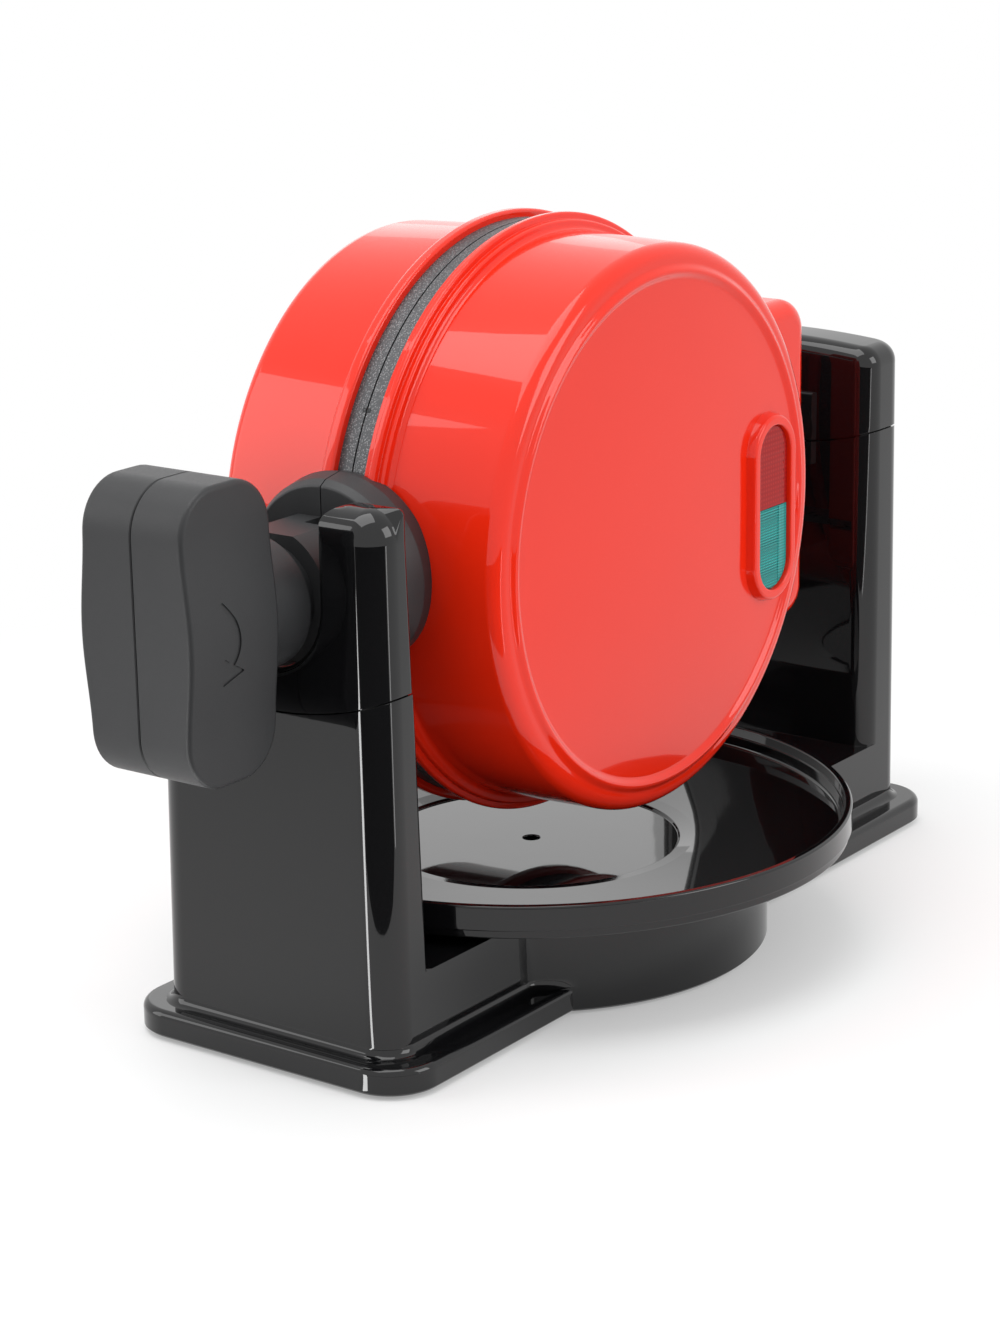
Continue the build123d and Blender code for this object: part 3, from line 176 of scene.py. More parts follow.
def paint(names, material):
    """Gives every named CAD node one material."""
    for name in names:
        slots = nodes[name].data.materials
        slots.clear()
        slots.append(material)
    print(material.name, "on", ", ".join(names))


# %% [markdown]
# ## Red enamel
#
# The shells are steel pressings in a thick glossy red. A plain red with low roughness would look like a toy. Enamel
# levels itself nearly flat under a clear skin, so this one has a weak base gloss, a sharp coat over it, a faint
# ripple, and fine dust that breaks up the base's gloss.

# %% Red enamel
def red_enamel():
    shader = Shader("red_enamel")
    tone = shader.noise(14.0, 2.0)
    colour = shader.blend(tone, (0.76, 0.018, 0.0035, 1), (0.82, 0.023, 0.005, 1))
    ripple = shader.noise(90.0, 2.0)
    dust = shader.noise(2600.0, 2.0)
    rough = shader.ramp(dust, 0.55, 0.75, 0.2, 0.3)
    shader.set(
        Base_Color=colour,
        Roughness=rough,
        Specular_IOR_Level=0.08,
        Coat_Weight=0.7,
        Coat_Roughness=0.02,
        Normal=shader.bump(ripple, 0.00012, 0.35),
    )
    return shader.material


RED = red_enamel()
paint(["lid_housing", "fixed_housing", "lamp_bezel"], RED)

# %% [markdown]
# ## Black plastics
#
# The stand and tray are moulded in a high gloss black. It has hardly any colour of its own and shows what is around
# it, so what matters is how flat it is: a slow waviness and a trace of dust. The grip and collar are the same
# plastic from a spark-eroded mould, whose fine even grain spreads the light. Both come from noise, which needs no
# unwrapping and holds at any distance.

# %% Gloss black and grained black
def gloss_black():
    shader = Shader("gloss_black")
    waviness = shader.noise(22.0, 2.0)
    dust = shader.noise(1800.0, 3.0)
    rough = shader.ramp(dust, 0.5, 0.8, 0.025, 0.1)
    shader.set(
        Base_Color=(0.004, 0.004, 0.0045, 1),
        Roughness=rough,
        Specular_IOR_Level=0.5,
        Normal=shader.bump(waviness, 0.00025, 0.25),
    )
    return shader.material


def grained_black():
    shader = Shader("grained_black")
    grain = shader.noise(3200.0, 2.0, 0.7)
    tone = shader.noise(30.0, 3.0)
    colour = shader.blend(tone, (0.02, 0.0205, 0.022, 1), (0.027, 0.0275, 0.029, 1))
    rough = shader.ramp(grain, 0.35, 0.65, 0.4, 0.52)
    shader.set(
        Base_Color=colour,
        Roughness=rough,
        Specular_IOR_Level=0.4,
        Normal=shader.bump(grain, 0.00008, 0.6),
    )
    return shader.material


GLOSS = gloss_black()
GRAIN = grained_black()
paint(["base_body", "front_cap", "rear_cap", "drip_tray", "bottom_cover"], GLOSS)
paint(["grip_left", "grip_right", "collar_lid", "collar_fixed", "shaft_sleeve", "handle_stem", "cord_grommet"], GRAIN)

# %% [markdown]
# ## Waffle plates
#
# The plates are cast aluminium under a grey non-stick coat with metal flecks in it. Noise would give clouds, so the
# flecks are the cell centres of a Voronoi pattern, light on dark and a little raised.

# %% Plate coat
def plate_coat():
    shader = Shader("plate_coat")
    flecks = shader.add("ShaderNodeTexVoronoi", {"Scale": 1500.0}, feature="F1")
    shader.tree.links.new(shader.place(), flecks.inputs["Vector"])
    sparkle = shader.ramp(flecks.outputs["Distance"], 0.0, 0.45, 1.0, 0.0)
    colour = shader.blend(sparkle, (0.085, 0.088, 0.092, 1), (0.34, 0.345, 0.35, 1))
    shader.set(
        Base_Color=colour,
        Metallic=0.65,
        Roughness=0.48,
        Normal=shader.bump(flecks.outputs["Distance"], 0.0002, 0.5),
    )
    return shader.material


PLATE = plate_coat()
paint(["lid_plate", "fixed_plate"], PLATE)

# %% [markdown]
# ## Metals, rubber and pale plastic
#
# Screws, pins, arms, feet and holders are bought or simple parts in four finishes. Each is one colour with a fine
# grain in its tone and its gloss. The record names a slot for every part, so the finish is looked up by slot and
# no part is forgotten.

# %% Metals, rubber and pale plastic
def plain_metal(name, colour, rough, scale):
    shader = Shader(name)
    grain = shader.noise(scale, 4.0, 0.6)
    shader.set(
        Base_Color=shader.blend(grain, [c * 0.8 for c in colour] + [1], list(colour) + [1]),
        Metallic=1.0,
        Roughness=shader.ramp(grain, 0.3, 0.7, rough - 0.08, rough + 0.1),
        Normal=shader.bump(grain, 0.0001, 0.2),
    )
    return shader.material


def plain_plastic(name, colour, rough):
    shader = Shader(name)
    grain = shader.noise(600.0, 3.0, 0.6)
    shader.set(
        Base_Color=shader.blend(grain, [c * 0.85 for c in colour] + [1], list(colour) + [1]),
        Roughness=shader.ramp(grain, 0.3, 0.7, rough - 0.05, rough + 0.08),
        Normal=shader.bump(grain, 0.0001, 0.3),
    )
    return shader.material


STEEL = plain_metal("plated_steel", (0.62, 0.61, 0.6), 0.3, 500.0)
CAST = plain_metal("cast_aluminium", (0.7, 0.7, 0.71), 0.42, 900.0)
RUBBER = plain_plastic("foot_rubber", (0.03, 0.03, 0.03), 0.75)
PALE = plain_plastic("pale_plastic", (0.66, 0.62, 0.54), 0.5)
by_slot = {"steel": STEEL, "aluminium_cast": CAST, "rubber_black": RUBBER, "pale_plastic": PALE}
for part in frame["record"]["subparts"]:
    if part["material_slot"] in by_slot:
        paint([part["node"]], by_slot[part["material_slot"]])

# %% [markdown]
# ## Lens colours
#
# The lamps sit behind clear red and green plastic with fine prisms moulded in. Real transmission would show the
# dark inside of the lid. The lenses look solid and lit on the real one, so they are a coloured plastic whose tone
# follows the prisms: the lighter tone on the prisms is painted light, for that lit look. The prisms are two crossed
# waves, which give an even grid of dots.

# %% Lens colours
def lens(name, deep, lit, pitch, relief, shine):
    """Coloured lens plastic over small prisms, whose pitch is in millimetres; the lit colour on the prisms is painted
    light.
    """
    shader = Shader(name)
    waves = []
    for axis in ("Y", "Z"):
        wave = shader.add("ShaderNodeTexWave", {"Scale": pi / (10 * pitch * MM)}, bands_direction=axis)
        shader.tree.links.new(shader.place(), wave.inputs["Vector"])
        waves.append(wave.outputs["Fac"])
    prisms = shader.add("ShaderNodeMath", {0: waves[0], 1: waves[1]}, operation="MULTIPLY").outputs[0]
    shader.set(
        # The prisms blend from the deep colour to the lit one, which is painted light.
        Base_Color=shader.blend(prisms, deep, lit),
        Roughness=0.15,
        Specular_IOR_Level=shine,
        Coat_Weight=shine,
        Coat_Roughness=0.05,
        Normal=shader.bump(prisms, 0.0002, relief),
    )
    return shader.material


LENS_RED = lens("lens_red", (0.3, 0.008, 0.008, 1), (0.42, 0.014, 0.012, 1), 1.6, 0.03, 0.1)
LENS_GREEN = lens("lens_green", (0.0, 0.16, 0.15, 1), (0.015, 0.5, 0.46, 1), 1.05, 0.15, 0.25)
paint(["red_lens"], LENS_RED)
paint(["green_lens"], LENS_GREEN)

# %% [markdown]
# ## Outlines
#
# Most of this machine is turned, pressed or moulded from a profile. A profile is written in millimetres as corners
# with radii, as on a drawing, because a radius is then one number that can be changed. Bevelling a finished mesh
# would give the same arcs with less control.


# %% Outlines with rounded corners
def rounded(corners, steps=8):
    """Closed outline through (a, b, radius) corners, each radius drawn as an arc."""
    path = []
    count = len(corners)
    for i, (a, b, radius) in enumerate(corners):
        here = Vector((a, b))
        if not radius:
            path.append(here)
            continue
        back = (Vector(corners[i - 1][:2]) - here).normalized()
        ahead = (Vector(corners[(i + 1) % count][:2]) - here).normalized()
        half_turn = back.angle(ahead) / 2
        reach = radius / tan(half_turn)
        middle = here + (back + ahead).normalized() * (radius / sin(half_turn))
        start = here + back * reach - middle
        end = here + ahead * reach - middle
        first = atan2(start.y, start.x)
        sweep = (atan2(end.y, end.x) - first + pi) % (2 * pi) - pi
        for k in range(steps + 1):
            angle = first + sweep * k / steps
            path.append(middle + Vector((cos(angle), sin(angle))) * radius)
    return path


# %% [markdown]
# ## New pieces
#
# Every piece starts as lists of points and faces. Adding primitives and editing them would also do, but the edges
# would not sit on the drawing's sizes. Doubled points are merged and the normals turned outward, because a cut
# goes wrong on a skin that is open or inside out. Faces are smooth below an angle, so flats stay flat.


# %% New pieces
SHARP = 35.0


def new_piece(name, verts, faces, material):
    """Object from points in metres, closed, with its normals outward and smooth below the sharp angle."""
    mesh = bpy.data.meshes.new(name)
    mesh.from_pydata([tuple(v) for v in verts], [], faces)
    work = bmesh.new()
    work.from_mesh(mesh)
    bmesh.ops.remove_doubles(work, verts=work.verts, dist=2e-6)
    bmesh.ops.recalc_face_normals(work, faces=work.faces)
    work.to_mesh(mesh)
    work.free()
    mesh.materials.append(material)
    mesh.shade_smooth()
    mesh.set_sharp_from_angle(angle=radians(SHARP))
    piece = bpy.data.objects.new(name, mesh)
    bpy.context.scene.collection.objects.link(piece)
    return piece


# %% [markdown]
# ## Turned surfaces
#
# The shells, the tray, the collar and the tray's seat are round, so each is one profile turned about a line, as on
# a lathe. A screw modifier does the same; written out, the points on the line itself need no faces between them,
# and the result is closed.


# %% Turned surfaces
def turned(name, outline, axis, material, segments):
    """Closed outline of (along, radius) points in millimetres, turned about a line through the hub."""
    along, side, up = {
        "X": (Vector((1, 0, 0)), Vector((0, 1, 0)), Vector((0, 0, 1))),
        "Y": (Vector((0, 1, 0)), Vector((1, 0, 0)), Vector((0, 0, 1))),
        "Z": (Vector((0, 0, 1)), Vector((1, 0, 0)), Vector((0, 1, 0))),
    }[axis]
    verts = []
    faces = []
    count = len(outline)
    for k in range(segments):
        angle = 2 * pi * k / segments
        spoke = side * cos(angle) + up * sin(angle)
        verts += [HUB + (along * a + spoke * max(r, 0)) * MM for a, r in outline]
        start = k * count
        following = ((k + 1) % segments) * count
        for i in range(count):
            j = (i + 1) % count
            if outline[i][1] > 1e-9 or outline[j][1] > 1e-9:
                faces.append((start + i, start + j, following + j, following + i))
    return new_piece(name, verts, faces, material)


# %% [markdown]
# ## Skinned surfaces
#
# What isn't round is a row of outlines with equal counts of points, skinned into a wall with a face at each end. This
# covers the hinge boxes, the flange, the lenses and every cutting block, and a change of section costs one more
# outline.


# %% Skinned surfaces
def skinned(name, rings, material):
    """Wall through rings of points in metres, all of one count, closed by a face at each end."""
    count = len(rings[0])
    verts = [point for ring in rings for point in ring]
    faces = []
    for r in range(len(rings) - 1):
        for i in range(count):
            j = (i + 1) % count
            faces.append((r * count + i, r * count + j, (r + 1) * count + j, (r + 1) * count + i))
    faces.append(tuple(range(count)))
    faces.append(tuple(range((len(rings) - 1) * count, len(rings) * count)))
    return new_piece(name, verts, faces, material)


# %% [markdown]
# ## Cutting one solid with another
#
# Slots, windows and seams are cut as a machinist would cut them, with a tool of the right form. The exact solver
# is slower than the fast one and copes with faces that lie in one plane, of which a moulding has many.


# %% Cutting
def apply_modifiers(piece, sharp):
    """Bakes a piece's modifiers into its mesh."""
    graph = bpy.context.evaluated_depsgraph_get()
    mesh = bpy.data.meshes.new_from_object(piece.evaluated_get(graph))
    piece.modifiers.clear()
    old = piece.data
    piece.data = mesh
    bpy.data.meshes.remove(old)
    mesh.shade_smooth()
    mesh.set_sharp_from_angle(angle=radians(sharp))
    return piece


def carve(piece, tool, operation="DIFFERENCE", sharp=SHARP):
    """Cuts piece with tool, or joins them, and uses the tool up."""
    modifier = piece.modifiers.new("carve", "BOOLEAN")
    modifier.object = tool
    modifier.operation = operation
    modifier.solver = "EXACT"
    apply_modifiers(piece, sharp)
    bpy.data.objects.remove(tool)
    return piece


# %% [markdown]
# ## Shading, joining and placing
#
# Weighted normals let the large flat faces rule the shading, so that a small bevel shines and the flat beside it
# doesn't bend. Skins that only meet are kept in one mesh without a cut. Each finished piece then rides on a body of
# the model and hides the solid that it stands for.


# %% Shading, joining and placing
def even_normals(piece):
    """Lets the large flat faces of a piece rule its shading."""
    modifier = piece.modifiers.new("even_normals", "WEIGHTED_NORMAL")
    modifier.keep_sharp = True
    modifier.weight = 80
    return piece


def joined(name, parts):
    """One object from several, in their places."""
    work = bmesh.new()
    for part in parts:
        work.from_mesh(part.data)
    material = parts[0].data.materials[0]
    mesh = bpy.data.meshes.new(name)
    work.to_mesh(mesh)
    work.free()
    for part in parts:
        bpy.data.objects.remove(part)
    mesh.materials.append(material)
    piece = bpy.data.objects.new(name, mesh)
    bpy.context.scene.collection.objects.link(piece)
    return piece


def stand_in(piece, body, slot, *replaced):
    """A finished piece rides on its body, and the solids it replaces are hidden."""
    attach(piece, body)
    if replaced:
        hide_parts(*replaced)
    print(piece.name, len(piece.data.polygons), "faces")
    return piece


def hub_point(x, y, z):
    """Point in metres from millimetres counted from the hub."""
    return HUB + Vector((x, y, z)) * MM


def slab(x0, x1, y0, y1, z0, z1):
    """Cutting block between planes in millimetres from the hub."""
    ring = [(x0, y0), (x1, y0), (x1, y1), (x0, y1)]
    return skinned("block_tool", [[hub_point(x, y, z) for x, y in ring] for z in (z0, z1)], RED)


# %% [markdown]
# ## Profile of a red shell
#
# Each half is a deep pressing: a rolled lip at the parting line, a drafted wall, a rounded shoulder and a slightly
# crowned face with one raised bead. The lid's lip is stepped in three fine ridges. A subdivided cylinder could be
# pulled into this form, but its highlights would wander. A turned profile gives the exact ones.

# %% Profile of a pressing
FLANGE = (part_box("lid_housing")[1].z - HUB.z) / MM
LIP_X = 6.0
WALL_ROOT = 98.0
WALL_FACE = 96.6
FACE_X = 57.5
BEAD = 87.5
BEAD_HALF = 2.9
CROWN = 1.3
SHEET = 2.4
BOX_X = 14.5
BOX_OUT = 38.0
BOX_BACK = 127.0
BOX_HALF = 60.0
PIN_X = joints["lid_open"]["pos_m"][0] / MM
PIN_Y = (joints["lid_open"]["pos_m"][1] - HUB.y) / MM


def bead_points(steps=14):
    """Raised ring on the face, from its outside to its inside, and the flat face inside it."""
    points = []
    for k in range(steps + 1):
        across = BEAD_HALF - 2 * BEAD_HALF * k / steps
        points.append((FACE_X + 0.75 * (1 + cos(pi * across / BEAD_HALF)), BEAD + across, 0))
    inside = BEAD - BEAD_HALF
    points += [(FACE_X + CROWN * (1 - (k / 16) ** 2), inside * k / 16, 0) for k in range(15, -1, -1)]
    return points


def pressing_outline(side, ridged):
    """Closed outline of one half's sheet, on the lid side at 1 and on the fixed side at -1."""
    if ridged:
        lip = [
            (LIP_X, FLANGE - 1.3, 0.5),
            (8.3, FLANGE - 1.3, 0.25),
            (8.3, FLANGE, 0.9),
            (11.0, FLANGE, 0.9),
            (11.0, FLANGE - 2.4, 0.3),
            (13.2, FLANGE - 2.4, 0.9),
            (13.2, WALL_ROOT, 1.8),
        ]
    else:
        lip = [(LIP_X, FLANGE, 1.3), (11.4, FLANGE, 2.4), (11.4, WALL_ROOT, 3.2)]
    corners = (
        [(LIP_X, WALL_ROOT - SHEET, 0)]
        + lip
        + [(34.0, (WALL_ROOT + WALL_FACE) / 2, 0), (FACE_X, WALL_FACE, 5.5)]
        + bead_points()
        + [(FACE_X - SHEET, 0, 0), (FACE_X - SHEET, WALL_FACE - SHEET, 2.6)]
    )
    return [(side * p.x, p.y) for p in rounded(corners, steps=10)]


print("lip", round(FLANGE, 2), "mm in radius, hinge pin at", round(PIN_X, 2), round(PIN_Y, 2))


# %% [markdown]
# ## Hinge box
#
# A square box with a soft outer edge is drawn out of the back of both shells and hides the hinge. The edge's radius
# is as large as the corner's, which a bevel modifier cannot do, so each ring of the roll is an outline drawn in
# by a little more. The box is kept apart from the turned shell and joined to it at the end.


# %% Hinge box
def box_ring(side, x, inset, root):
    """Outline of the hinge box, square to the lid's axis, drawn in by inset."""
    outline = rounded(
        [
            (root, -BOX_HALF + inset, 0),
            (BOX_BACK - inset, -BOX_HALF + inset, 12.0 - inset),
            (BOX_BACK - inset, BOX_HALF - inset, 12.0 - inset),
            (root, BOX_HALF - inset, 0),
        ],
        steps=16,
    )
    return [hub_point(side * x, p.x, p.y) for p in outline]


def hinge_box(side, inset, root):
    """Solid box with a rounded outer edge, drawn in by inset."""
    near = BOX_X + inset
    far = BOX_OUT - inset
    edge = 7.0 - inset
    rings = [box_ring(side, near, inset, root)]
    for k in range(13):
        angle = pi / 2 * k / 12
        rings.append(box_ring(side, far - edge * (1 - sin(angle)), inset + edge * (1 - cos(angle)) * 0.999, root))
    return skinned("box_tool", rings, RED)


def pressing(name, side, ridged):
    """One half's red shell, with its hollow hinge box."""
    shell = turned(name, pressing_outline(side, ridged), "X", RED, segments=288)
    carve(shell, hinge_box(side, SHEET, 86.0))
    box = hinge_box(side, 0, 70.0)
    carve(box, hinge_box(side, SHEET, 60.0))
    core = turned(
        "core_tool",
        [(side * 5, 0), (side * 5, WALL_ROOT - 1.0), (side * 52, WALL_FACE - 1.0), (side * 52, 0)],
        "X",
        RED,
        segments=288,
    )
    carve(box, core)
    return shell, box


# %% [markdown]
# ## Slots and window
#
# The hinge's arms come out of the boxes through slots, and the lamps sit in a window of the lid's face. Both are
# cut from the shell before it is joined to its box, because a cut on two skins that overlap can lose one of them.


# %% Both red shells
def red_shell(name, side, ridged, cutters, window=None):
    shell, box = pressing(name, side, ridged)
    for cutter in cutters:
        carve(shell, slab(*cutter))
        carve(box, slab(*cutter))
    if window:
        carve(shell, skinned("window_tool", [[hub_point(x, p.x, p.y) for p in window] for x in (50, 65)], RED))
    return joined(name, [shell, box])


ARM_REACH = 12.1
ARM_HALF = 6.6
lid_slots = [
    (BOX_X - 1.5, PIN_X + ARM_HALF, PIN_Y - ARM_REACH, BOX_BACK + 1, z - 2.1, z + 2.1) for z in (-40.0, 40.0)
]
fixed_slots = [
    (-BOX_X - 3.5, -BOX_X + 1.5, PIN_Y - ARM_HALF + 0.5, PIN_Y + ARM_HALF - 0.5, z - 1.6, z + 1.6)
    for z in (-40.0, 40.0)
]
lamp_window = rounded(
    [(54.15, -35.35, 11.2), (76.65, -35.35, 11.2), (76.65, 26.15, 11.2), (54.15, 26.15, 11.2)], steps=16
)
lid_shell = red_shell("lid_shell", 1, True, lid_slots, lamp_window)
fixed_shell = red_shell("fixed_shell", -1, False, fixed_slots)
stand_in(even_normals(lid_shell), "lid", "red_enamel", "lid_housing")
stand_in(even_normals(fixed_shell), "head", "red_enamel", "fixed_housing")

# %% [markdown]
# ## Broken edges
#
# A moulded edge is never quite sharp, and its thin highlight is what makes plastic look real. A bevel modifier
# takes every edge above an angle, also those that a cut has left on a curve. Here the edges are picked by where
# they are, so that only the real ones are rounded.


# %% Bevels on chosen edges
def break_edges(piece, width, segments, chosen=None):
    """Rounds sharp edges, all of them or those whose middle, in mm from the hub, chosen() picks."""
    work = bmesh.new()
    work.from_mesh(piece.data)
    bmesh.ops.remove_doubles(work, verts=work.verts, dist=1e-5)
    edges = []
    for edge in work.edges:
        if len(edge.link_faces) != 2 or edge.calc_face_angle(0) < radians(30):
            continue
        middle = ((edge.verts[0].co + edge.verts[1].co) / 2 - HUB) / MM
        if chosen is None or chosen(middle):
            edges.append(edge)
    bmesh.ops.bevel(
        work,
        geom=edges,
        offset=width * MM,
        offset_type="OFFSET",
        segments=segments,
        profile=0.5,
        affect="EDGES",
        clamp_overlap=True,
    )
    work.to_mesh(piece.data)
    work.free()
    piece.data.shade_smooth()
    piece.data.set_sharp_from_angle(angle=radians(SHARP))
    return piece


# %% [markdown]
# ## Collar
#
# A black collar in two halves grips both shells in front. It fits them closely, so each half is a turned ring from
# which the form of the shell is cut, and the gap to the red is even all round.


# %% Collar halves
def collar_half(name, side):
    outline = rounded(
        [
            (-95.5, 20.0, 0),
            (-95.5, 31.9, 0.6),
            (-102.6, 33.3, 1.6),
            (-109.6, 32.0, 1.5),
            (-112.5, 30.2, 1.2),
            (-112.5, 20.0, 0),
        ],
        steps=6,
    )
    half = turned(name, [(p.x, p.y) for p in outline], "Y", GRAIN, segments=144)
    carve(half, slab(0.2 * side, 60 * side, -130, -80, -50, 50), "INTERSECT")
    reach = FLANGE - 0.25
    shell_form = [
        (side * -1, 0),
        (side * -1, 103.1),
        (side * 6.02, 103.1),
        (side * 6.02, reach),
        (side * 11.2, reach),
        (side * 13.4, WALL_ROOT + 1),
        (side * 15.5, WALL_ROOT - 0.3),
        (side * 50, WALL_FACE),
        (side * 50, 0),
    ]
    carve(half, turned("shell_tool", shell_form, "X", RED, segments=288))
    return break_edges(half, 0.7, 2)


collar_right = collar_half("collar_right", 1)
collar_left = collar_half("collar_left", -1)
stand_in(even_normals(collar_right), "lid", "black_matte", "collar_lid")
stand_in(even_normals(collar_left), "head", "black_matte", "collar_fixed")

# %% [markdown]
# ## Plate rims
#
# The edges of both waffle plates sit a little below the red lips, in a dark gap. The plates' solids are right
# but for that. Building the grid again would take a hundred pockets, so each plate is copied and only the points
# of its outer edge are drawn in.

# %% Plates with drawn-in rims
RIM_INSET = 1.7


def drawn_in(source, name):
    mesh = nodes[source].data.copy()
    piece = bpy.data.objects.new(name, mesh)
    bpy.context.scene.collection.objects.link(piece)
    piece.matrix_world = nodes[source].matrix_world.copy()
    to_world = piece.matrix_world
    back = to_world.inverted()
    reach = max(hypot(*(to_world @ v.co - HUB).yz) for v in mesh.vertices)
    for vertex in mesh.vertices:
        place = to_world @ vertex.co - HUB
        radius = hypot(place.y, place.z)
        if radius > reach - 1.5 * MM:
            scale = (radius - RIM_INSET * MM) / radius
            vertex.co = back @ (HUB + Vector((place.x, place.y * scale, place.z * scale)))
    print(name, "reach", round(reach / MM, 2), "of", round(FLANGE, 2))
    return piece


stand_in(drawn_in("lid_plate", "lid_plate_cast"), "lid", "grey_plate", "lid_plate")
stand_in(drawn_in("fixed_plate", "fixed_plate_cast"), "head", "grey_plate", "fixed_plate")

# %% [markdown]
# ## Sizes of the stand
#
# The stand is one moulding: a flange with a rolled edge, a low body with a flare all round its foot, and two
# towers. A moulding has draft, so the towers are a little smaller at the top. Their sizes are given by height, so
# that every ring at any height agrees with them.

# %% Sizes of the stand
TOP_Z = 187.4
FLANGE_TOP = 10.5
BEAM_TOP = 35.5
PEDESTAL = 84.5
FOOT_FLARE = 3.4
CORNER = 10.7
FRONT_INNER = 2.5
REAR_CORNER = 8.0
SIDE_END = 23


def tower_size(height):
    """Half width, front and back of the front tower at a height, as distances from the hub."""
    t = (height - FLANGE_TOP) / (TOP_Z - FLANGE_TOP)
    return 49.0 - 2.4 * t, -145.4 + 1.7 * t, -124.8 - 3.0 * t


def rear_size(height):
    """Half width, front and back of the rear tower at a height."""
    t = (height - FLANGE_TOP) / (TOP_Z - FLANGE_TOP)
    return 49.0 - 0.8 * t, 155.0 + 0.8 * t, 183.0 - 0.8 * t


print("front tower", tower_size(FLANGE_TOP), "at its foot and", tower_size(TOP_Z), "at its top")

# %% [markdown]
# ## Outline of the low body
#
# Four blocks and a drum could be joined, but the flare at the foot would break at every join. The outline is one
# smooth line instead, straight along the sides, round at the corners and round the pedestal, written as points
# with normals. Rings of that line, moved out along the normals, give the flare without any cutting.


# %% Outline of the low body
def stand_point(x, y, z):
    """Point in metres from millimetres: across and along from the hub, and up from the floor."""
    return Vector((x * MM, HUB.y + y * MM, z * MM))


def at_height(points, height):
    return [stand_point(p.x, p.y, height) for p in points]


def arc(centre, radius, first, last, steps, inward=False):
    """Points and outward normals on an arc; an inward one is a concave fillet."""
    points = []
    for k in range(steps + 1):
        angle = radians(first + (last - first) * k / steps)
        way = Vector((cos(angle), sin(angle)))
        points.append((Vector(centre) + way * radius, -way if inward else way))
    return points


def side_line(height):
    """Right side of the low body from the front's middle to the back's middle: points, normals and flare."""
    half, front, inner_front = tower_size(height)
    back_half, inner_back, back = rear_size(height)
    line = [(Vector((half * k / 8 * 0.78, front)), Vector((0, -1))) for k in range(8)]
    line += arc((half - CORNER, front + CORNER), CORNER, -90, 0, 14)
    line.append((Vector((half, inner_front)), Vector((1, 0))))
    fillet = 6.0
    reach = sqrt((PEDESTAL + fillet) ** 2 - (half + fillet) ** 2)
    back_reach = sqrt((PEDESTAL + fillet) ** 2 - (back_half + fillet) ** 2)
    turn = degrees(atan2(reach, half + fillet))
    back_turn = degrees(atan2(back_reach, back_half + fillet))
    line += arc((half + fillet, -reach), fillet, 180, 180 - turn, 8, inward=True)
    line += arc((0, 0), PEDESTAL, -turn, back_turn, 72)[1:-1]
    line += arc((back_half + fillet, back_reach), fillet, 180 + back_turn, 180, 8, inward=True)
    line.append((Vector((back_half, inner_back + REAR_CORNER)), Vector((1, 0))))
    line += arc((back_half - CORNER, back - CORNER), CORNER, 0, 90, 14)
    line += [(Vector((back_half * k / 8 * 0.78, back)), Vector((0, 1))) for k in range(7, -1, -1)]
    return line


def body_ring(height, offset, ring_offset=0.0):
    """Closed ring of the low body at a height, moved out by offset except round the open pedestal."""
    right = []
    for point, normal in side_line(height):
        share = min(1.0, max(0.0, (59.0 - point.x) / 5.0))
        moved = point + normal * (offset * share + ring_offset * (1 - share))
        right.append(moved)
    left = [Vector((-p.x, p.y)) for p in reversed(right[1:-1])]
    return at_height(right + left, height)


print("outline of the stand", 2 * len(side_line(BEAM_TOP)) - 2, "points")


# %% [markdown]
# ## Inner faces of the towers
#
# Above the low body the outline splits into two towers. Each keeps its part of the smooth line and is closed by its
# own inner face, so that the outside runs from the flare to the top without a join.


# %% Inner faces of the towers
def inner_front(height, steps=10):
    """Points across the front tower's inner face, between its two sides."""
    half, front, y = tower_size(height)
    return [Vector((half * (1 - 2 * k / steps), y)) for k in range(1, steps)]


def inner_rear(height, steps=10):
    """Points round the rear tower's inner face and corners, between its two sides."""
    half, y, back = rear_size(height)
    right = [p for p, n in arc((half - REAR_CORNER, y + REAR_CORNER), REAR_CORNER, 0, -90, 10)][1:]
    across = [Vector(((half - REAR_CORNER) * (1 - 2 * k / steps), y)) for k in range(1, steps)]
    return right + across + [Vector((-p.x, p.y)) for p in reversed(right)]


def tower_ring(height, rear):
    """Closed ring of one tower at a height."""
    side = [p for p, n in side_line(height)]
    if rear:
        right = side[len(side) - SIDE_END - 1 :]
        left = [Vector((-p.x, p.y)) for p in reversed(right[:-1])]
        points = right + left + list(reversed(inner_rear(height)))
    else:
        right = side[: SIDE_END + 1]
        left = [Vector((-p.x, p.y)) for p in reversed(right[1:])]
        points = right + inner_front(height) + left
    return at_height(points, height)


# %% [markdown]
# ## Stand in one skin
#
# The rings of the body, the deck between the towers and the rings of both towers become one closed skin. It is
# watertight before anything is cut, which the exact solver needs.


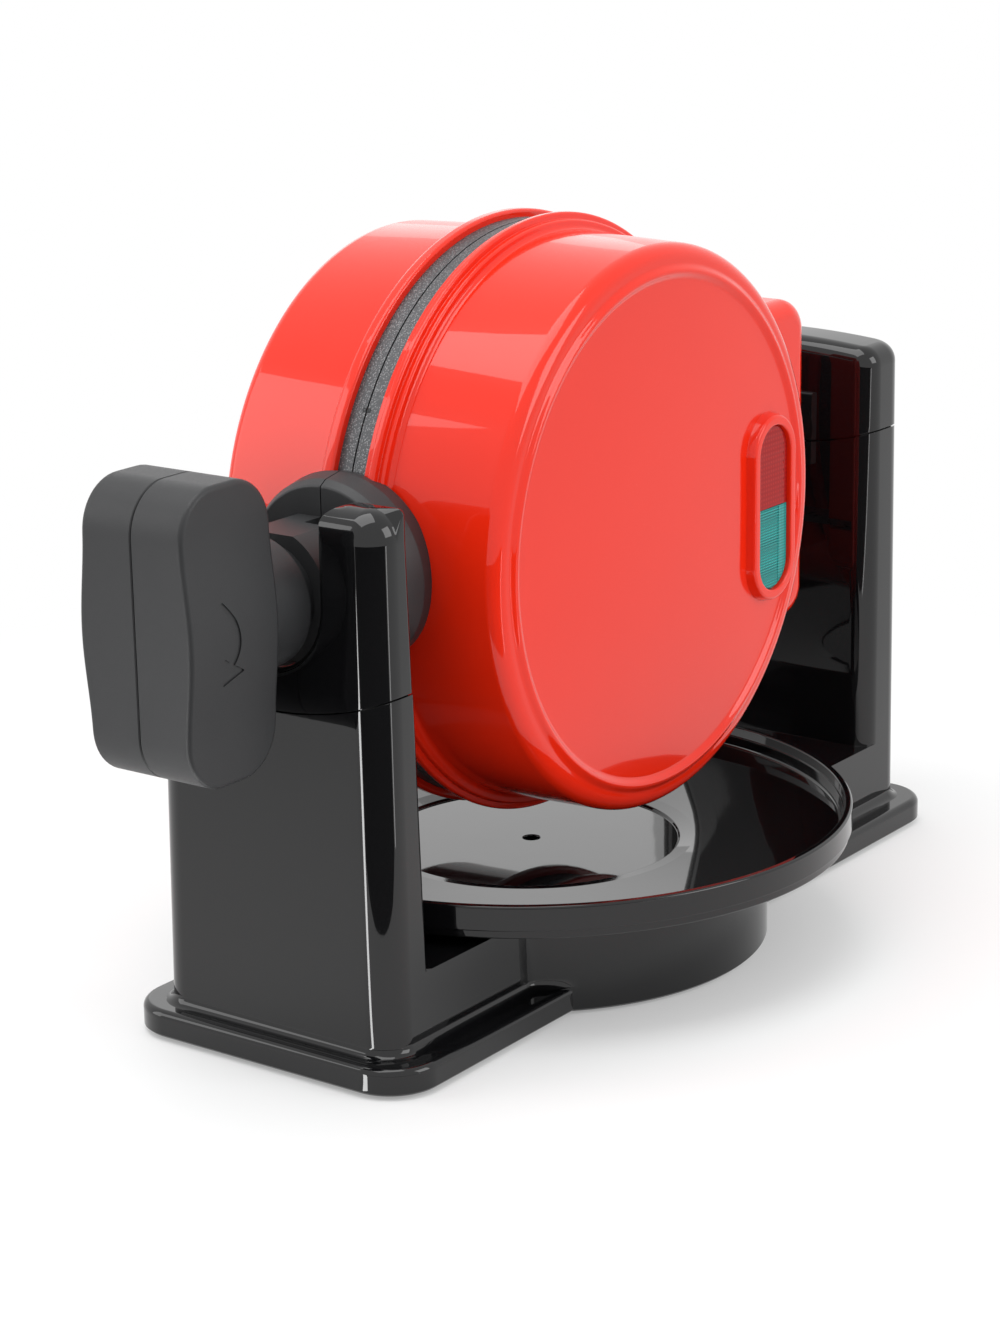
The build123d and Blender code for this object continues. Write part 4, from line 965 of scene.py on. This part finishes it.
# %% Stand in one skin
def stand_skin(front_top, rear_top):
    """Low body with both towers, as one closed skin."""
    levels = [(1.5, 0, -0.8), (2.3, 0, 0), (9.0, FOOT_FLARE, 0)]
    for k in range(9):
        angle = pi / 2 * k / 8
        levels.append((FLANGE_TOP - 0.06 + FOOT_FLARE * (1 - cos(angle)), FOOT_FLARE * (1 - sin(angle)), 0))
    levels += [(20.0, 0, 0), (28.0, 0, 0), (BEAM_TOP, 0, 0)]
    rings = [body_ring(*level) for level in levels]
    count = len(rings[0])
    verts = [p for ring in rings for p in ring]
    faces = [tuple(range(count))]
    for r in range(len(rings) - 1):
        for i in range(count):
            j = (i + 1) % count
            faces.append((r * count + i, r * count + j, (r + 1) * count + j, (r + 1) * count + i))

    def add_ring(points):
        first = len(verts)
        verts.extend(points)
        return list(range(first, first + len(points)))

    side = [p for p, n in side_line(BEAM_TOP)]
    middle = side[SIDE_END : len(side) - SIDE_END]
    left = [Vector((-p.x, p.y)) for p in reversed(middle)]
    deck = middle + inner_rear(BEAM_TOP) + left + list(reversed(inner_front(BEAM_TOP)))
    faces.append(tuple(add_ring(at_height(deck, BEAM_TOP))))
    for rear, top in ((False, front_top), (True, rear_top)):
        steps = 10
        walls = [
            add_ring(tower_ring(BEAM_TOP + (top - BEAM_TOP) * k / steps, rear)) for k in range(steps + 1)
        ]
        for low, high in zip(walls, walls[1:]):
            for i in range(len(low)):
                j = (i + 1) % len(low)
                faces.append((low[i], low[j], high[j], high[i]))
        faces.append(tuple(walls[-1]))
    return new_piece("stand", verts, faces, GLOSS)


# %% [markdown]
# ## Cutting tools of the stand
#
# The caps meet the towers on arched seams, so the towers' tops are cut with arched blocks and the caps' undersides
# with the same arcs. Round and rounded blocks cut the pockets. Each tool is longer than the cut, so that no face
# of it lies in a face of the stand.


# %% Cutting tools of the stand
def arched_block(height, radius, near, far, below=False):
    """Block above an arched seam, or below it, between two distances from the hub."""
    reach = 62.0
    steps = 60
    arch = []
    for k in range(steps + 1):
        x = reach * (2 * k / steps - 1)
        arch.append((x, height + radius - sqrt(radius**2 - x**2)))
    end = -20 if below else 260
    profile = arch + [(reach, end), (-reach, end)]
    rings = [[stand_point(x, y, z) for x, z in profile] for y in (near, far)]
    return skinned("arch_tool", rings, GLOSS)


def prism(outline, low, high):
    """Upright block over an outline of points counted from the hub's middle."""
    return skinned("prism_tool", [at_height(outline, z) for z in (low, high)], GLOSS)


def disc_outline(radius, steps=144):
    angles = [2 * pi * k / steps for k in range(steps)]
    return [Vector((radius * cos(a), radius * sin(a))) for a in angles]


def flange_outline(inset):
    return rounded(
        [
            (59.4 - inset, -153.8 + inset, 17.9 - inset),
            (59.4 - inset, 192.1 - inset, 17.9 - inset),
            (-59.4 + inset, 192.1 - inset, 17.9 - inset),
            (-59.4 + inset, -153.8 + inset, 17.9 - inset),
        ],
        steps=20,
    )


FRONT_SEAM = (119.4, 135.0)
REAR_SEAM = (152.4, 165.0)
SEAM_GAP = 0.55


def seam_height(seam, x):
    return seam[0] + seam[1] - sqrt(max(seam[1] ** 2 - x**2, 0))


# %% [markdown]
# ## Flange, tray seat and the finished stand
#
# The flange is a skinned plate with a rolled edge, joined on by a union, which leaves the flare to end on it. The
# tray's seat is a round pocket with a rim of its own, and two shallow pockets below leave room for the bottom
# cover. The rim only meets the pocket's wall, so it is added last and without a cut.

# %% Stand
FLANGE_ROLL = 2.6
SEAT = 81.9
RIM_ROLL = 1.3
RIM_HEIGHT = 36.9


def rolled_flange():
    rolled = [(1.5, 0.8), (2.3, 0)]
    for k in range(7):
        angle = pi / 12 * k
        rolled.append((FLANGE_TOP - FLANGE_ROLL + FLANGE_ROLL * sin(angle), FLANGE_ROLL * (1 - cos(angle))))
    return skinned("flange", [at_height(flange_outline(inset), z) for z, inset in rolled], GLOSS)


def seat_rim():
    """Ring round the tray's seat, with a rolled outer edge."""
    outline = [(30, SEAT), (30, PEDESTAL)]
    for a in (0, 0.4, 0.8, 1.2, 1.57):
        outline.append((RIM_HEIGHT - RIM_ROLL + RIM_ROLL * sin(a), PEDESTAL - RIM_ROLL * (1 - cos(a))))
    outline.append((RIM_HEIGHT, SEAT))
    return turned("rim_tool", [(z - HUB.z / MM, r) for z, r in outline], "Z", GLOSS, segments=216)


def make_stand():
    stand = stand_skin(150.0, 175.0)
    carve(stand, arched_block(*FRONT_SEAM, -170, -100))
    carve(stand, arched_block(*REAR_SEAM, 130, 200))
    carve(stand, rolled_flange(), "UNION")
    rim = seat_rim()
    carve(stand, prism(disc_outline(SEAT), 32.5, 60))
    for outline in (flange_outline(FLANGE_ROLL), disc_outline(SEAT)):
        carve(stand, prism(outline, -5, 3.7))
    return joined("stand", [stand, rim])


stand = make_stand()
print("stand before its edges are broken", len(stand.data.polygons), "faces")

# %% [markdown]
# ## Edges of the stand
#
# Three sets of edges catch the light: the seams, the deck's edge beside the towers and the towers' inner corners.
# Each has its own radius, so each has a short test that says whether an edge belongs to it.

# %% Edges of the stand


def on_seam(middle):
    z = middle.z + HUB.z / MM
    seam = FRONT_SEAM if middle.y < 0 else REAR_SEAM
    return abs(z - seam_height(seam, middle.x)) < 0.6


def on_deck(middle):
    z = middle.z + HUB.z / MM
    return abs(z - BEAM_TOP) < 0.2 and abs(middle.x) < 49.5 and hypot(middle.x, middle.y) > PEDESTAL + 0.1


def on_inner_edge(middle):
    z = middle.z + HUB.z / MM
    half, front, inner = tower_size(z)
    return abs(abs(middle.x) - half) < 0.3 and abs(middle.y - inner) < 0.3 and z > BEAM_TOP + 0.5


break_edges(stand, FRONT_INNER, 5, on_inner_edge)
break_edges(stand, 0.2, 2, on_seam)
break_edges(stand, 1.1, 3, on_deck)
stand_in(even_normals(stand), "base", "black_gloss", "base_body")

# %% [markdown]
# ## Caps of the towers
#
# A cap closes each tower above an arched seam, and its top edge is rolled over far more at the outside than at the
# inside. A bevel modifier breaks down on such short facets, so the roll is written as rings whose radius differs
# from side to side. Both sides are sampled at the same places across, and the top is then bridged row by row.


# %% Tower sections in matching rows
def cross_rows(half, near, near_radius, far, far_radius, steps=14, middle=12):
    """Far and near edges of a tower's section as (point, normal), sampled at the same places across."""
    out = 1 if far > near else -1
    places = [half - far_radius * (1 - cos(pi / 2 * k / steps)) for k in range(steps + 1)]
    flat = half - far_radius
    places += [flat * (1 - 2 * k / middle) for k in range(1, middle)]
    places += [-x for x in reversed(places[: steps + 1])]
    rows = []
    for edge, radius, way in ((far, far_radius, out), (near, near_radius, -out)):
        row = []
        for x in places:
            over = max(0.0, abs(x) - (half - radius)) / radius
            rise = sqrt(max(0.0, 1 - over**2))
            point = Vector((x, edge - way * radius * (1 - rise)))
            row.append((point, Vector((over if x > 0 else -over, way * rise))))
        rows.append(row)
    return rows


def cap_skin(name, sections, top, far_round, near_round):
    """Closed block up a tower's sections, whose top edge is rolled over to a height that top(x) gives."""
    rings = []
    for height, rows in sections:
        far, near = rows
        rings.append([Vector((p.x, p.y, height)) for p, n in far + list(reversed(near))])
    far, near = sections[-1][1]
    count = len(far)
    for k in range(9):
        angle = pi / 2 * k / 8
        ring = []
        for i, (p, n) in enumerate(far + list(reversed(near))):
            radius = far_round if i < count else near_round
            q = p - n * radius * (1 - cos(angle))
            ring.append(Vector((q.x, q.y, top(q.x) - radius * (1 - sin(angle)))))
        rings.append(ring)
    verts = [stand_point(p.x, p.y, p.z) for ring in rings for p in ring]
    around = 2 * count
    faces = [tuple(range(around))]
    for r in range(len(rings) - 1):
        for i in range(around):
            j = (i + 1) % around
            faces.append((r * around + i, r * around + j, (r + 1) * around + j, (r + 1) * around + i))
    last = (len(rings) - 1) * around
    for i in range(count - 1):
        faces.append((last + i, last + i + 1, last + around - 2 - i, last + around - 1 - i))
    return new_piece(name, verts, faces, GLOSS)


# %% [markdown]
# ## Slot of the front cradle
#
# The front cap is a cradle: a deep slot between two arms in which the head's journal turns. The slot's edges are
# rounded. Bevelling them after the cut would meet the rolled top in a knot of small faces, so the cutting block's
# own ends flare, and the cut comes out rounded.

# %% Slot of the front cradle
SLOT = 22.5
SLOT_EDGE = 3.6
SLOT_CREST = 6.5


def slot_ring(spread, face):
    """U of the slot, wider by spread, on a face whose place face(height) gives."""
    crest = TOP_Z - HUB.z / MM
    half = SLOT + spread
    outline = [Vector((half * cos(radians(a)), half * sin(radians(a)))) for a in range(-180, 1, 5)]
    outline += [Vector((half, crest * k / 5 * 0.8)) for k in range(1, 5)]
    for k in range(9):
        angle = pi / 2 * k / 8
        outline.append(
            Vector((half + SLOT_CREST * (1 - cos(angle)), crest - SLOT_CREST * (1 - sin(angle))))
        )
    outline.append(Vector((half + SLOT_CREST, crest + 12)))
    outline += [Vector((-p.x, p.y)) for p in reversed(outline[37:])]
    return [hub_point(p.x, face(p.y + HUB.z / MM), p.y) for p in outline]


def slot_tool():
    """Cutting block whose ends flare out, so that the slot's edges come out rounded."""
    bends = [(SLOT_EDGE, -3.0)]
    for k in range(8):
        angle = pi / 2 * k / 7
        bends.append((SLOT_EDGE * (1 - sin(angle)), SLOT_EDGE * (1 - cos(angle))))
    rings = [slot_ring(spread, lambda z: tower_size(z)[1] + depth) for spread, depth in bends]
    rings += [slot_ring(spread, lambda z: tower_size(z)[2] - depth) for spread, depth in reversed(bends)]
    return skinned("slot_tool", rings, GLOSS)


# %% [markdown]
# ## Front cradle
#
# The cradle is skinned up the tower's own sections, cut off along the seam and slotted. A real cap has spigots that
# reach into the tower. Two blocks just inside the corners stand for them, so that no light passes the seam.


# %% Front cradle
def make_cradle():
    sections = []
    for k in range(9):
        height = 100.0 + (TOP_Z - 10.5 - 100.0) * k / 8
        half, front, inner = tower_size(height)
        sections.append((height, cross_rows(half, inner, FRONT_INNER, front, CORNER)))
    cap = cap_skin("front_cradle", sections, lambda x: TOP_Z, 10.0, 2.4)
    carve(cap, arched_block(FRONT_SEAM[0] + SEAM_GAP, FRONT_SEAM[1], -170, -100, below=True))
    return carve(cap, slot_tool())


def spigots(size, near_radius, seam):
    """Two blocks just inside the corners that plug a cap into its tower, so that no light passes the seam."""
    blocks = []
    for side in (1, -1):
        rings = []
        for height in (seam[0] - 2.0, seam_height(seam, 49.0) + 2.5):
            half, low, high = size(height)
            near, far = (low, high) if low > 0 else (high, low)
            step = 1.2 if far > near else -1.2
            rows = cross_rows(half - 1.2, near + step, near_radius - 1.2, far - step, CORNER - 1.2)
            outline = [p for p, n in rows[0] + list(reversed(rows[1])) if side * p.x > 25]
            rings.append(at_height(outline, height))
        blocks.append(skinned("spigot", rings, GLOSS))
    return blocks


def near_seam(seam):
    return lambda m: abs(m.z + HUB.z / MM - SEAM_GAP - seam_height(seam, m.x)) < 0.35


front_cradle = make_cradle()
break_edges(front_cradle, 0.2, 2, near_seam(FRONT_SEAM))
front_cradle = joined("front_cradle", [front_cradle] + spigots(tower_size, FRONT_INNER, FRONT_SEAM))
stand_in(even_normals(front_cradle), "base", "black_gloss", "front_cap")


# %% [markdown]
# ## Rear cap
#
# The rear cap is the same kind of block with a gently arched crest and an equal roll all round.

# %% Rear cap
REAR_TOP = 194.0
REAR_ARCH = 380.0


def rear_crest(x):
    return REAR_TOP - REAR_ARCH + sqrt(REAR_ARCH**2 - x**2)


def make_rear_cap():
    sections = []
    for k in range(7):
        height = 140.0 + (184.0 - 140.0) * k / 6
        half, inner, back = rear_size(height)
        sections.append((height, cross_rows(half, inner, REAR_CORNER, back, CORNER)))
    cap = cap_skin("rear_tower_cap", sections, rear_crest, 6.5, 6.5)
    return carve(cap, arched_block(REAR_SEAM[0] + SEAM_GAP, REAR_SEAM[1], 130, 200, below=True))


rear_tower_cap = make_rear_cap()
break_edges(rear_tower_cap, 0.2, 2, near_seam(REAR_SEAM))
rear_tower_cap = joined("rear_tower_cap", [rear_tower_cap] + spigots(rear_size, REAR_CORNER, REAR_SEAM))
stand_in(even_normals(rear_tower_cap), "base", "black_gloss", "rear_cap")

# %% [markdown]
# ## Drip tray
#
# The tray is one round moulding: a flat middle with a hole, a narrow step round it, a sloping dish and an upright
# rim with a bead below it. All of that is one profile, so it is turned in one go, in many segments, because the
# long reflections in the dish show every flat.

# %% Tray
def tray_outline():
    drop = RIM_TOP - 50.7
    corners = [
        (3.0, 34.9, 0.5),
        (52.6, 34.9, 0.3),
        (53.2, 35.8, 0.6),
        (58.5, 36.6, 3.0),
        (110.3, 42.7, 1.4),
        (111.0, 46.9, 0.2),
        (111.5, 47.1, 0.2),
        (111.6, 50.7, 0.7),
        (114.4, 50.7, 0.9),
        (114.4, 42.3, 0.3),
        (113.6, 42.0, 0.2),
        (113.4, 39.2, 0.8),
        (108.6, 39.0, 1.0),
        (78.0, 37.0, 0.8),
        (78.0, 32.7, 0.6),
        (74.0, 32.7, 0.6),
        (74.0, 36.2, 0.8),
        (58.5, 34.2, 1.0),
        (52.5, 32.7, 1.0),
        (3.0, 32.7, 0.4),
    ]
    return [(p.y + drop - HUB.z / MM, p.x) for p in rounded(corners, steps=8)]


tray = turned("tray_skin", tray_outline(), "Z", GLOSS, segments=288)
stand_in(even_normals(tray), "tray", "black_gloss", "drip_tray")

# %% [markdown]
# ## Grip
#
# Two shells meet on a fine seam. Seen from the side each is a rounded block, and seen from the front it swells
# gently in the middle. A subdivided cube could be sculpted into it, but every row across the face is level, so the
# face is skinned row by row, and its rim is rounded with rings that move in along the outline's normals.


# %% Grip shells
GRIP_MIDDLE = -181.5
GRIP_EDGE = 1.7


def block_outline(half_a, half_b, radius, steps=14, longest=2.2):
    """Points and outward normals of a rounded rectangle, clockwise from the top end of its right side."""
    points = []
    for sign_a, sign_b, first in ((1, 1, 90), (1, -1, 0), (-1, -1, -90), (-1, 1, -180)):
        centre = Vector((sign_a * (half_a - radius), sign_b * (half_b - radius)))
        for k in range(steps + 1):
            angle = radians(first - 90 * k / steps)
            way = Vector((cos(angle), sin(angle)))
            points.append((centre + way * radius, way))
    result = []
    for i, (point, normal) in enumerate(points):
        following, _ = points[(i + 1) % len(points)]
        pieces = max(1, ceil(abs(following.y - point.y) / longest))
        result += [(point.lerp(following, k / pieces), normal) for k in range(pieces)]
    return result


def grip_face(z):
    """Half thickness of the grip at a height from its middle."""
    return 20.1 + (1.2 * (1 + cos(pi * z / 34.0)) if abs(z) < 34 else 0)


def grip_shell(name, side):
    outline = block_outline(20.5, 47.0, 16.0)
    rings = [[(p - n * 0.35, 0.12) for p, n in outline], [(p, 0.5) for p, n in outline]]
    rings.append([(p, 10.0) for p, n in outline])
    for k in range(7):
        angle = pi / 2 * k / 6
        inset = GRIP_EDGE * (1 - cos(angle))
        lower = GRIP_EDGE * (1 - sin(angle))
        rings.append([(p - n * inset, grip_face(p.y) - lower) for p, n in outline])
    verts = []
    for ring in rings:
        verts += [hub_point(side * x, GRIP_MIDDLE + p.x, p.y) for p, x in ring]
    count = len(outline)
    faces = [tuple(range(count))]
    for r in range(len(rings) - 1):
        for i in range(count):
            j = (i + 1) % count
            faces.append((r * count + i, r * count + j, (r + 1) * count + j, (r + 1) * count + i))
    last = (len(rings) - 1) * count
    for i in range(count // 2 - 1):
        faces.append((last + i, last + i + 1, last + count - 2 - i, last + count - 1 - i))
    return new_piece(name, verts, faces, GRAIN)


# %% [markdown]
# ## Arrow in the grip
#
# The turning arrow is moulded into the right shell. A bump map would fade at a low angle, so it is cut as a real
# groove, with a tool whose floor follows the swell of the face.


# %% Arrow cut into the right shell
def stroke(points, width):
    """Outline of a band through (y, z) points, narrower where it starts, with round ends."""
    left = []
    right = []
    for i, point in enumerate(points):
        ahead = points[min(i + 1, len(points) - 1)] - points[max(i - 1, 0)]
        half = width / 2 * (0.45 + 0.55 * min(1.0, i / 4))
        across = Vector((-ahead.y, ahead.x)).normalized() * half
        left.append(point + across)
        right.append(point - across)
    outline = []
    for side, end, way in ((left, points[-1], -1), (list(reversed(right)), points[0], -1)):
        outline += side
        first = side[-1] - end
        for k in range(1, 8):
            angle = way * pi * k / 8
            turned_way = Vector(
                (first.x * cos(angle) - first.y * sin(angle), first.x * sin(angle) + first.y * cos(angle))
            )
            outline.append(end + turned_way)
    return outline


def engraver(outline, depth):
    """Cutting block whose floor follows the grip's face at a depth."""
    rings = []
    for offset in (-depth, 3.0):
        rings.append([hub_point(grip_face(p.y) + offset, p.x, p.y) for p in outline])
    return skinned("arrow_tool", rings, GRAIN)


def bent_line(start, middle, end, steps=14):
    """Smooth line through three points."""
    handle = middle * 2 - (start + end) / 2
    return [
        start * (1 - t) ** 2 + handle * 2 * t * (1 - t) + end * t**2 for t in (k / steps for k in range(steps + 1))
    ]


grip_right = grip_shell("grip_shell_right", 1)
grip_left = grip_shell("grip_shell_left", -1)
arrow_line = bent_line(Vector((-186.9, 10.9)), Vector((-180.9, 0.6)), Vector((-183.2, -7.6)))
carve(grip_right, engraver(stroke(arrow_line, 2.8), 0.5))
arrow_point = rounded([(-187.2, -5.8, 0.3), (-187.6, -14.6, 0.5), (-177.6, -11.4, 0.3)], steps=4)
carve(grip_right, engraver(arrow_point, 0.5))
stand_in(even_normals(grip_right), "head", "black_matte", "grip_right")
stand_in(even_normals(grip_left), "head", "black_matte", "grip_left")

# %% [markdown]
# ## Lamp bezel
#
# A raised bezel in the same red stands on the lid's face, round the shape of two half circles and two straights.
# A curve with a bevel object would sweep it too; here the section is moved out from the same outline that the
# lens uses, so that the two always fit.

# %% Bezel
LAMP_Y = 65.4
LAMP_Z = -4.6
LENS_HALF = 10.25
LENS_REACH = 29.75


def obround(offset, steps=24):
    """Points of the lens outline moved out by offset, as (y, z) from the hub."""
    radius = LENS_HALF + offset
    centre = LENS_REACH - LENS_HALF
    points = []
    for middle, first in ((centre, 0), (-centre, 180)):
        for k in range(steps + 1):
            angle = radians(first + 180 * k / steps)
            points.append(Vector((LAMP_Y + radius * cos(angle), LAMP_Z + middle + radius * sin(angle))))
    return points


def swept_bezel():
    section = rounded(
        [
            (FACE_X - 0.2, 4.9, 0),
            (FACE_X + 0.5, 4.4, 1.2),
            (FACE_X + 4.2, 3.4, 1.3),
            (FACE_X + 4.2, 0.0, 0.7),
            (FACE_X - 1.5, 0.0, 0),
            (FACE_X - 1.5, 1.0, 0),
            (FACE_X - 0.2, 1.0, 0),
        ],
        steps=6,
    )
    verts = []
    faces = []
    count = len(section)
    around = len(obround(0))
    for p in section:
        verts += [hub_point(p.x, q.x, q.y) for q in obround(p.y)]
    for i in range(count):
        j = (i + 1) % count
        for k in range(around):
            n = (k + 1) % around
            faces.append((i * around + k, i * around + n, j * around + n, j * around + k))
    return new_piece("bezel_ring", verts, faces, RED)


bezel = swept_bezel()
stand_in(even_normals(bezel), "lid", "red_enamel", "lamp_bezel")


# %% [markdown]
# ## Lenses
#
# One lens outline is split into a red and a green half. Prism rows are cut into the front as shallow grooves, which
# catch the light in rows. A bump map alone would leave the split and the edge of the rows flat.


# %% Lenses
def lens_half(name, upper, material, pitch, height, spread):
    """Half of the lens, with prism rows over a part of its width that spread gives in millimetres."""
    outline = obround(-0.1, steps=32)
    rings = [[hub_point(x, p.x, p.y) for p in outline] for x in (FACE_X, FACE_X + 2.2)]
    inset = [hub_point(FACE_X + 2.6, p.x, p.y) for p in obround(-0.6, steps=32)]
    piece = skinned(name, rings + [inset], material)
    middle = LAMP_Z
    if upper:
        carve(piece, slab(40, 70, 40, 90, -60, middle + 0.15))
    else:
        carve(piece, slab(40, 70, 40, 90, middle - 0.15, 60))
    verts = []
    faces = []
    rows = int(2 * LENS_REACH / pitch)
    for r in range(rows):
        z = LAMP_Z - LENS_REACH + pitch * r
        here = len(verts)
        for y in (LAMP_Y + spread[0], LAMP_Y + spread[1]):
            verts += [
                hub_point(FACE_X + 2.7, y, z),
                hub_point(FACE_X + 2.6 - height, y, z + pitch / 2),
                hub_point(FACE_X + 2.7, y, z + pitch),
            ]
        faces += [
            (here, here + 1, here + 2),
            (here + 5, here + 4, here + 3),
            (here, here + 3, here + 4, here + 1),
            (here + 1, here + 4, here + 5, here + 2),
            (here + 2, here + 5, here + 3, here),
        ]
    carve(piece, new_piece("prism_rows", verts, faces, material), sharp=20)
    piece.name = name
    return piece


red_window = lens_half("red_window", True, LENS_RED, 3.1, 0.12, (-7.5, 7.5))
green_window = lens_half("green_window", False, LENS_GREEN, 0.95, 0.35, (-9.0, 4.5))
stand_in(red_window, "lid", "lens_red", "red_lens")
stand_in(green_window, "lid", "lens_green", "green_lens")

# %% [markdown]
# ## Small parts
#
# The stem, the arms, the pin's clips and the screws have the right form as solids. Only their edges are too sharp, so
# a narrow bevel modifier is enough, and nothing has to be modelled twice.

# %% Broken edges
def small_bevel(name, width):
    modifier = nodes[name].modifiers.new("broken_edges", "BEVEL")
    modifier.width = width * MM
    modifier.segments = 2
    modifier.limit_method = "ANGLE"
    modifier.angle_limit = radians(50)


for name in ("handle_stem", "shaft_sleeve", "hinge_bracket", "lid_hinge_blocks", "pin_clips", "bracket_screws"):
    small_bevel(name, 0.3)
    print(name, "edges broken by 0.3 mm")

# %% [markdown]
# ## White background
#
# A product picture has a white ground with only a shadow on it. More light would wash the object out, so the ground
# is shown white only where it is seen: by the camera, in gloss, or through something clear. The light path node
# tells these rays from scattered ones.


# %% Rays that show the white background
def seen_directly(tree):
    """One for rays from the camera, from a gloss surface or through a clear one, and zero for scattered light."""
    path = tree.nodes.new("ShaderNodeLightPath").outputs
    total = path["Is Camera Ray"]
    for kind in ("Is Glossy Ray", "Is Transmission Ray"):
        adding = tree.nodes.new("ShaderNodeMath")
        adding.operation = "ADD"
        adding.use_clamp = True
        tree.links.new(total, adding.inputs[0])
        tree.links.new(path[kind], adding.inputs[1])
        total = adding.outputs[0]
    return total


# %% [markdown]
# ## Floor
#
# The floor is plain and pale near the object, where it takes the shadow, and fades to pure white away from it. Its
# scattered colour gets darker with distance, because a wide white floor would light the undersides too much.

# %% Floor
FLOOR_REACH = 6.0


def staged(name, points, material):
    """Flat sheet of the studio, which isn't part of the object."""
    mesh = bpy.data.meshes.new(name)
    mesh.from_pydata([tuple(p) for p in points], [], [tuple(range(len(points)))])
    mesh.materials.append(material)
    sheet = bpy.data.objects.new(name, mesh)
    bpy.context.scene.collection.objects.link(sheet)
    return sheet


def studio_floor():
    """Pale floor; seen directly or in gloss it is a little whiter and fades to plain white away from the object."""
    shader = Shader("studio_floor")
    place = shader.add("ShaderNodeNewGeometry").outputs["Position"]
    distance = shader.add("ShaderNodeVectorMath", {0: place}, operation="LENGTH").outputs["Value"]
    colour = shader.blend(shader.ramp(distance, 0.42, 0.8, 0, 1), (0.84, 0.84, 0.84, 1), (0.3, 0.3, 0.3, 1))
    shader.set(Base_Color=colour, Roughness=0.8, Specular_IOR_Level=0.0)
    white = shader.add("ShaderNodeEmission", {"Color": (1, 1, 1, 1), "Strength": 1.0})
    fade = shader.ramp(distance, 0.14, 0.5, 0.26, 1.0)
    shown = shader.add("ShaderNodeMath", {0: seen_directly(shader.tree), 1: fade}, operation="MULTIPLY")
    mix = shader.add("ShaderNodeMixShader", {0: shown.outputs[0]})
    shader.tree.links.new(shader.surface.outputs[0], mix.inputs[1])
    shader.tree.links.new(white.outputs[0], mix.inputs[2])
    shader.tree.links.new(mix.outputs[0], shader.tree.nodes["Material Output"].inputs["Surface"])
    r = FLOOR_REACH
    return staged("studio_floor", [(-r, -r, 0), (r, -r, 0), (r, r, 0), (-r, r, 0)], shader.material)


studio_floor()

# %% [markdown]
# ## Surround and lamps
#
# An even surround fills the shadows, and four broad soft lamps shape the form from above, from both sides and a
# little from behind. Large weak lamps are used because small strong ones would clip the red and draw hard spots.


# %% Surround and lamps
def soft_lamp(name, place, width, height, power):
    """Rectangular lamp aimed at the hub, with sides in metres and power in watts."""
    lamp = bpy.data.lights.new(name, "AREA")
    lamp.shape = "RECTANGLE"
    lamp.size = width
    lamp.size_y = height
    lamp.energy = power
    holder = bpy.data.objects.new(name, lamp)
    bpy.context.scene.collection.objects.link(holder)
    holder.location = place
    holder.rotation_euler = (HUB - Vector(place)).to_track_quat("-Z", "Y").to_euler()
    return holder


def surround(level):
    """Even light from all round, which is plain white where it is seen directly."""
    world = bpy.data.worlds.new("surround")
    bpy.context.scene.world = world
    world.use_nodes = True
    tree = world.node_tree
    background = tree.nodes["Background"]
    background.inputs["Color"].default_value = (1, 1, 1, 1)
    strength = tree.nodes.new("ShaderNodeMapRange")
    strength.inputs["To Min"].default_value = level
    strength.inputs["To Max"].default_value = 1.0
    tree.links.new(seen_directly(tree), strength.inputs["Value"])
    tree.links.new(strength.outputs["Result"], background.inputs["Strength"])


surround(0.88)
lamps = [
    soft_lamp("top_lamp", (-0.2, -0.3, 1.6), 1.2, 1.2, 13),
    soft_lamp("left_lamp", (-1.6, -1.2, 0.9), 0.9, 1.4, 9),
    soft_lamp("right_lamp", (1.5, 0.3, 0.9), 0.8, 0.9, 8),
    soft_lamp("back_lamp", (-1.25, 1.2, 0.75), 0.9, 0.5, 0.9),
]
bpy.context.scene.view_settings.view_transform = "Standard"
print(len(lamps), "lamps,", sum(lamp.data.energy for lamp in lamps), "watts in all")

# %% [markdown]
# ## Cards that paint reflections on the gloss
#
# Gloss black shows mostly what it mirrors, and in a studio that is the dark camera side with a bright strip at either
# end.
# Cards stand for them as painted reflections. They lie on the floor where only reflections meet them, so they light
# nothing and throw no shadow: the black one is a painted dark reflection that keeps the stand dark, and the bright
# ones glow as painted highlights that draw the fine lines down the corner of the front tower.


# %% Cards that paint reflections on the gloss
def painted_reflection_card(name, ways, near, far, colour, glow):
    """Card low on the camera's side that only reflections see, a painted reflection over a fan of directions in
    degrees.
    """
    shader = Shader(name)
    shader.set(Base_Color=colour, Roughness=1.0, Specular_IOR_Level=0.0)
    shader.set(Emission_Color=(1, 1, 1, 1), Emission_Strength=glow)
    corner = Vector((0.049, -0.134, 0.001))
    spokes = [Vector((sin(radians(a)), -cos(radians(a)), 0)) for a in ways]
    inner = [corner + spoke * reach for spoke, reach in zip(spokes, near)]
    outer = [corner + spoke * far for spoke in spokes]
    card = staged(name, inner + list(reversed(outer)), shader.material)
    card.visible_camera = False
    card.visible_diffuse = False
    card.visible_shadow = False


BLACK = (0.05, 0.05, 0.05, 1)
PALE_GREY = (0.8, 0.8, 0.8, 1)
fan = (-14, -5, 10, 30, 55, 75, 88)
fan_starts = (0.24, 0.19, 0.16, 0.15, 0.155, 0.18, 0.25)
# The black card is a painted dark reflection, and the two strips glow only in reflections as painted highlights.
painted_reflection_card("painted_dark_reflection", fan, fan_starts, 1.6, BLACK, 0)
painted_reflection_card("painted_highlight_left", (-23, -16), (0.02, 0.02), 0.7, PALE_GREY, 13)
painted_reflection_card("painted_highlight_right", (90.5, 93.5), (0.25, 0.25), 1.2, PALE_GREY, 4)
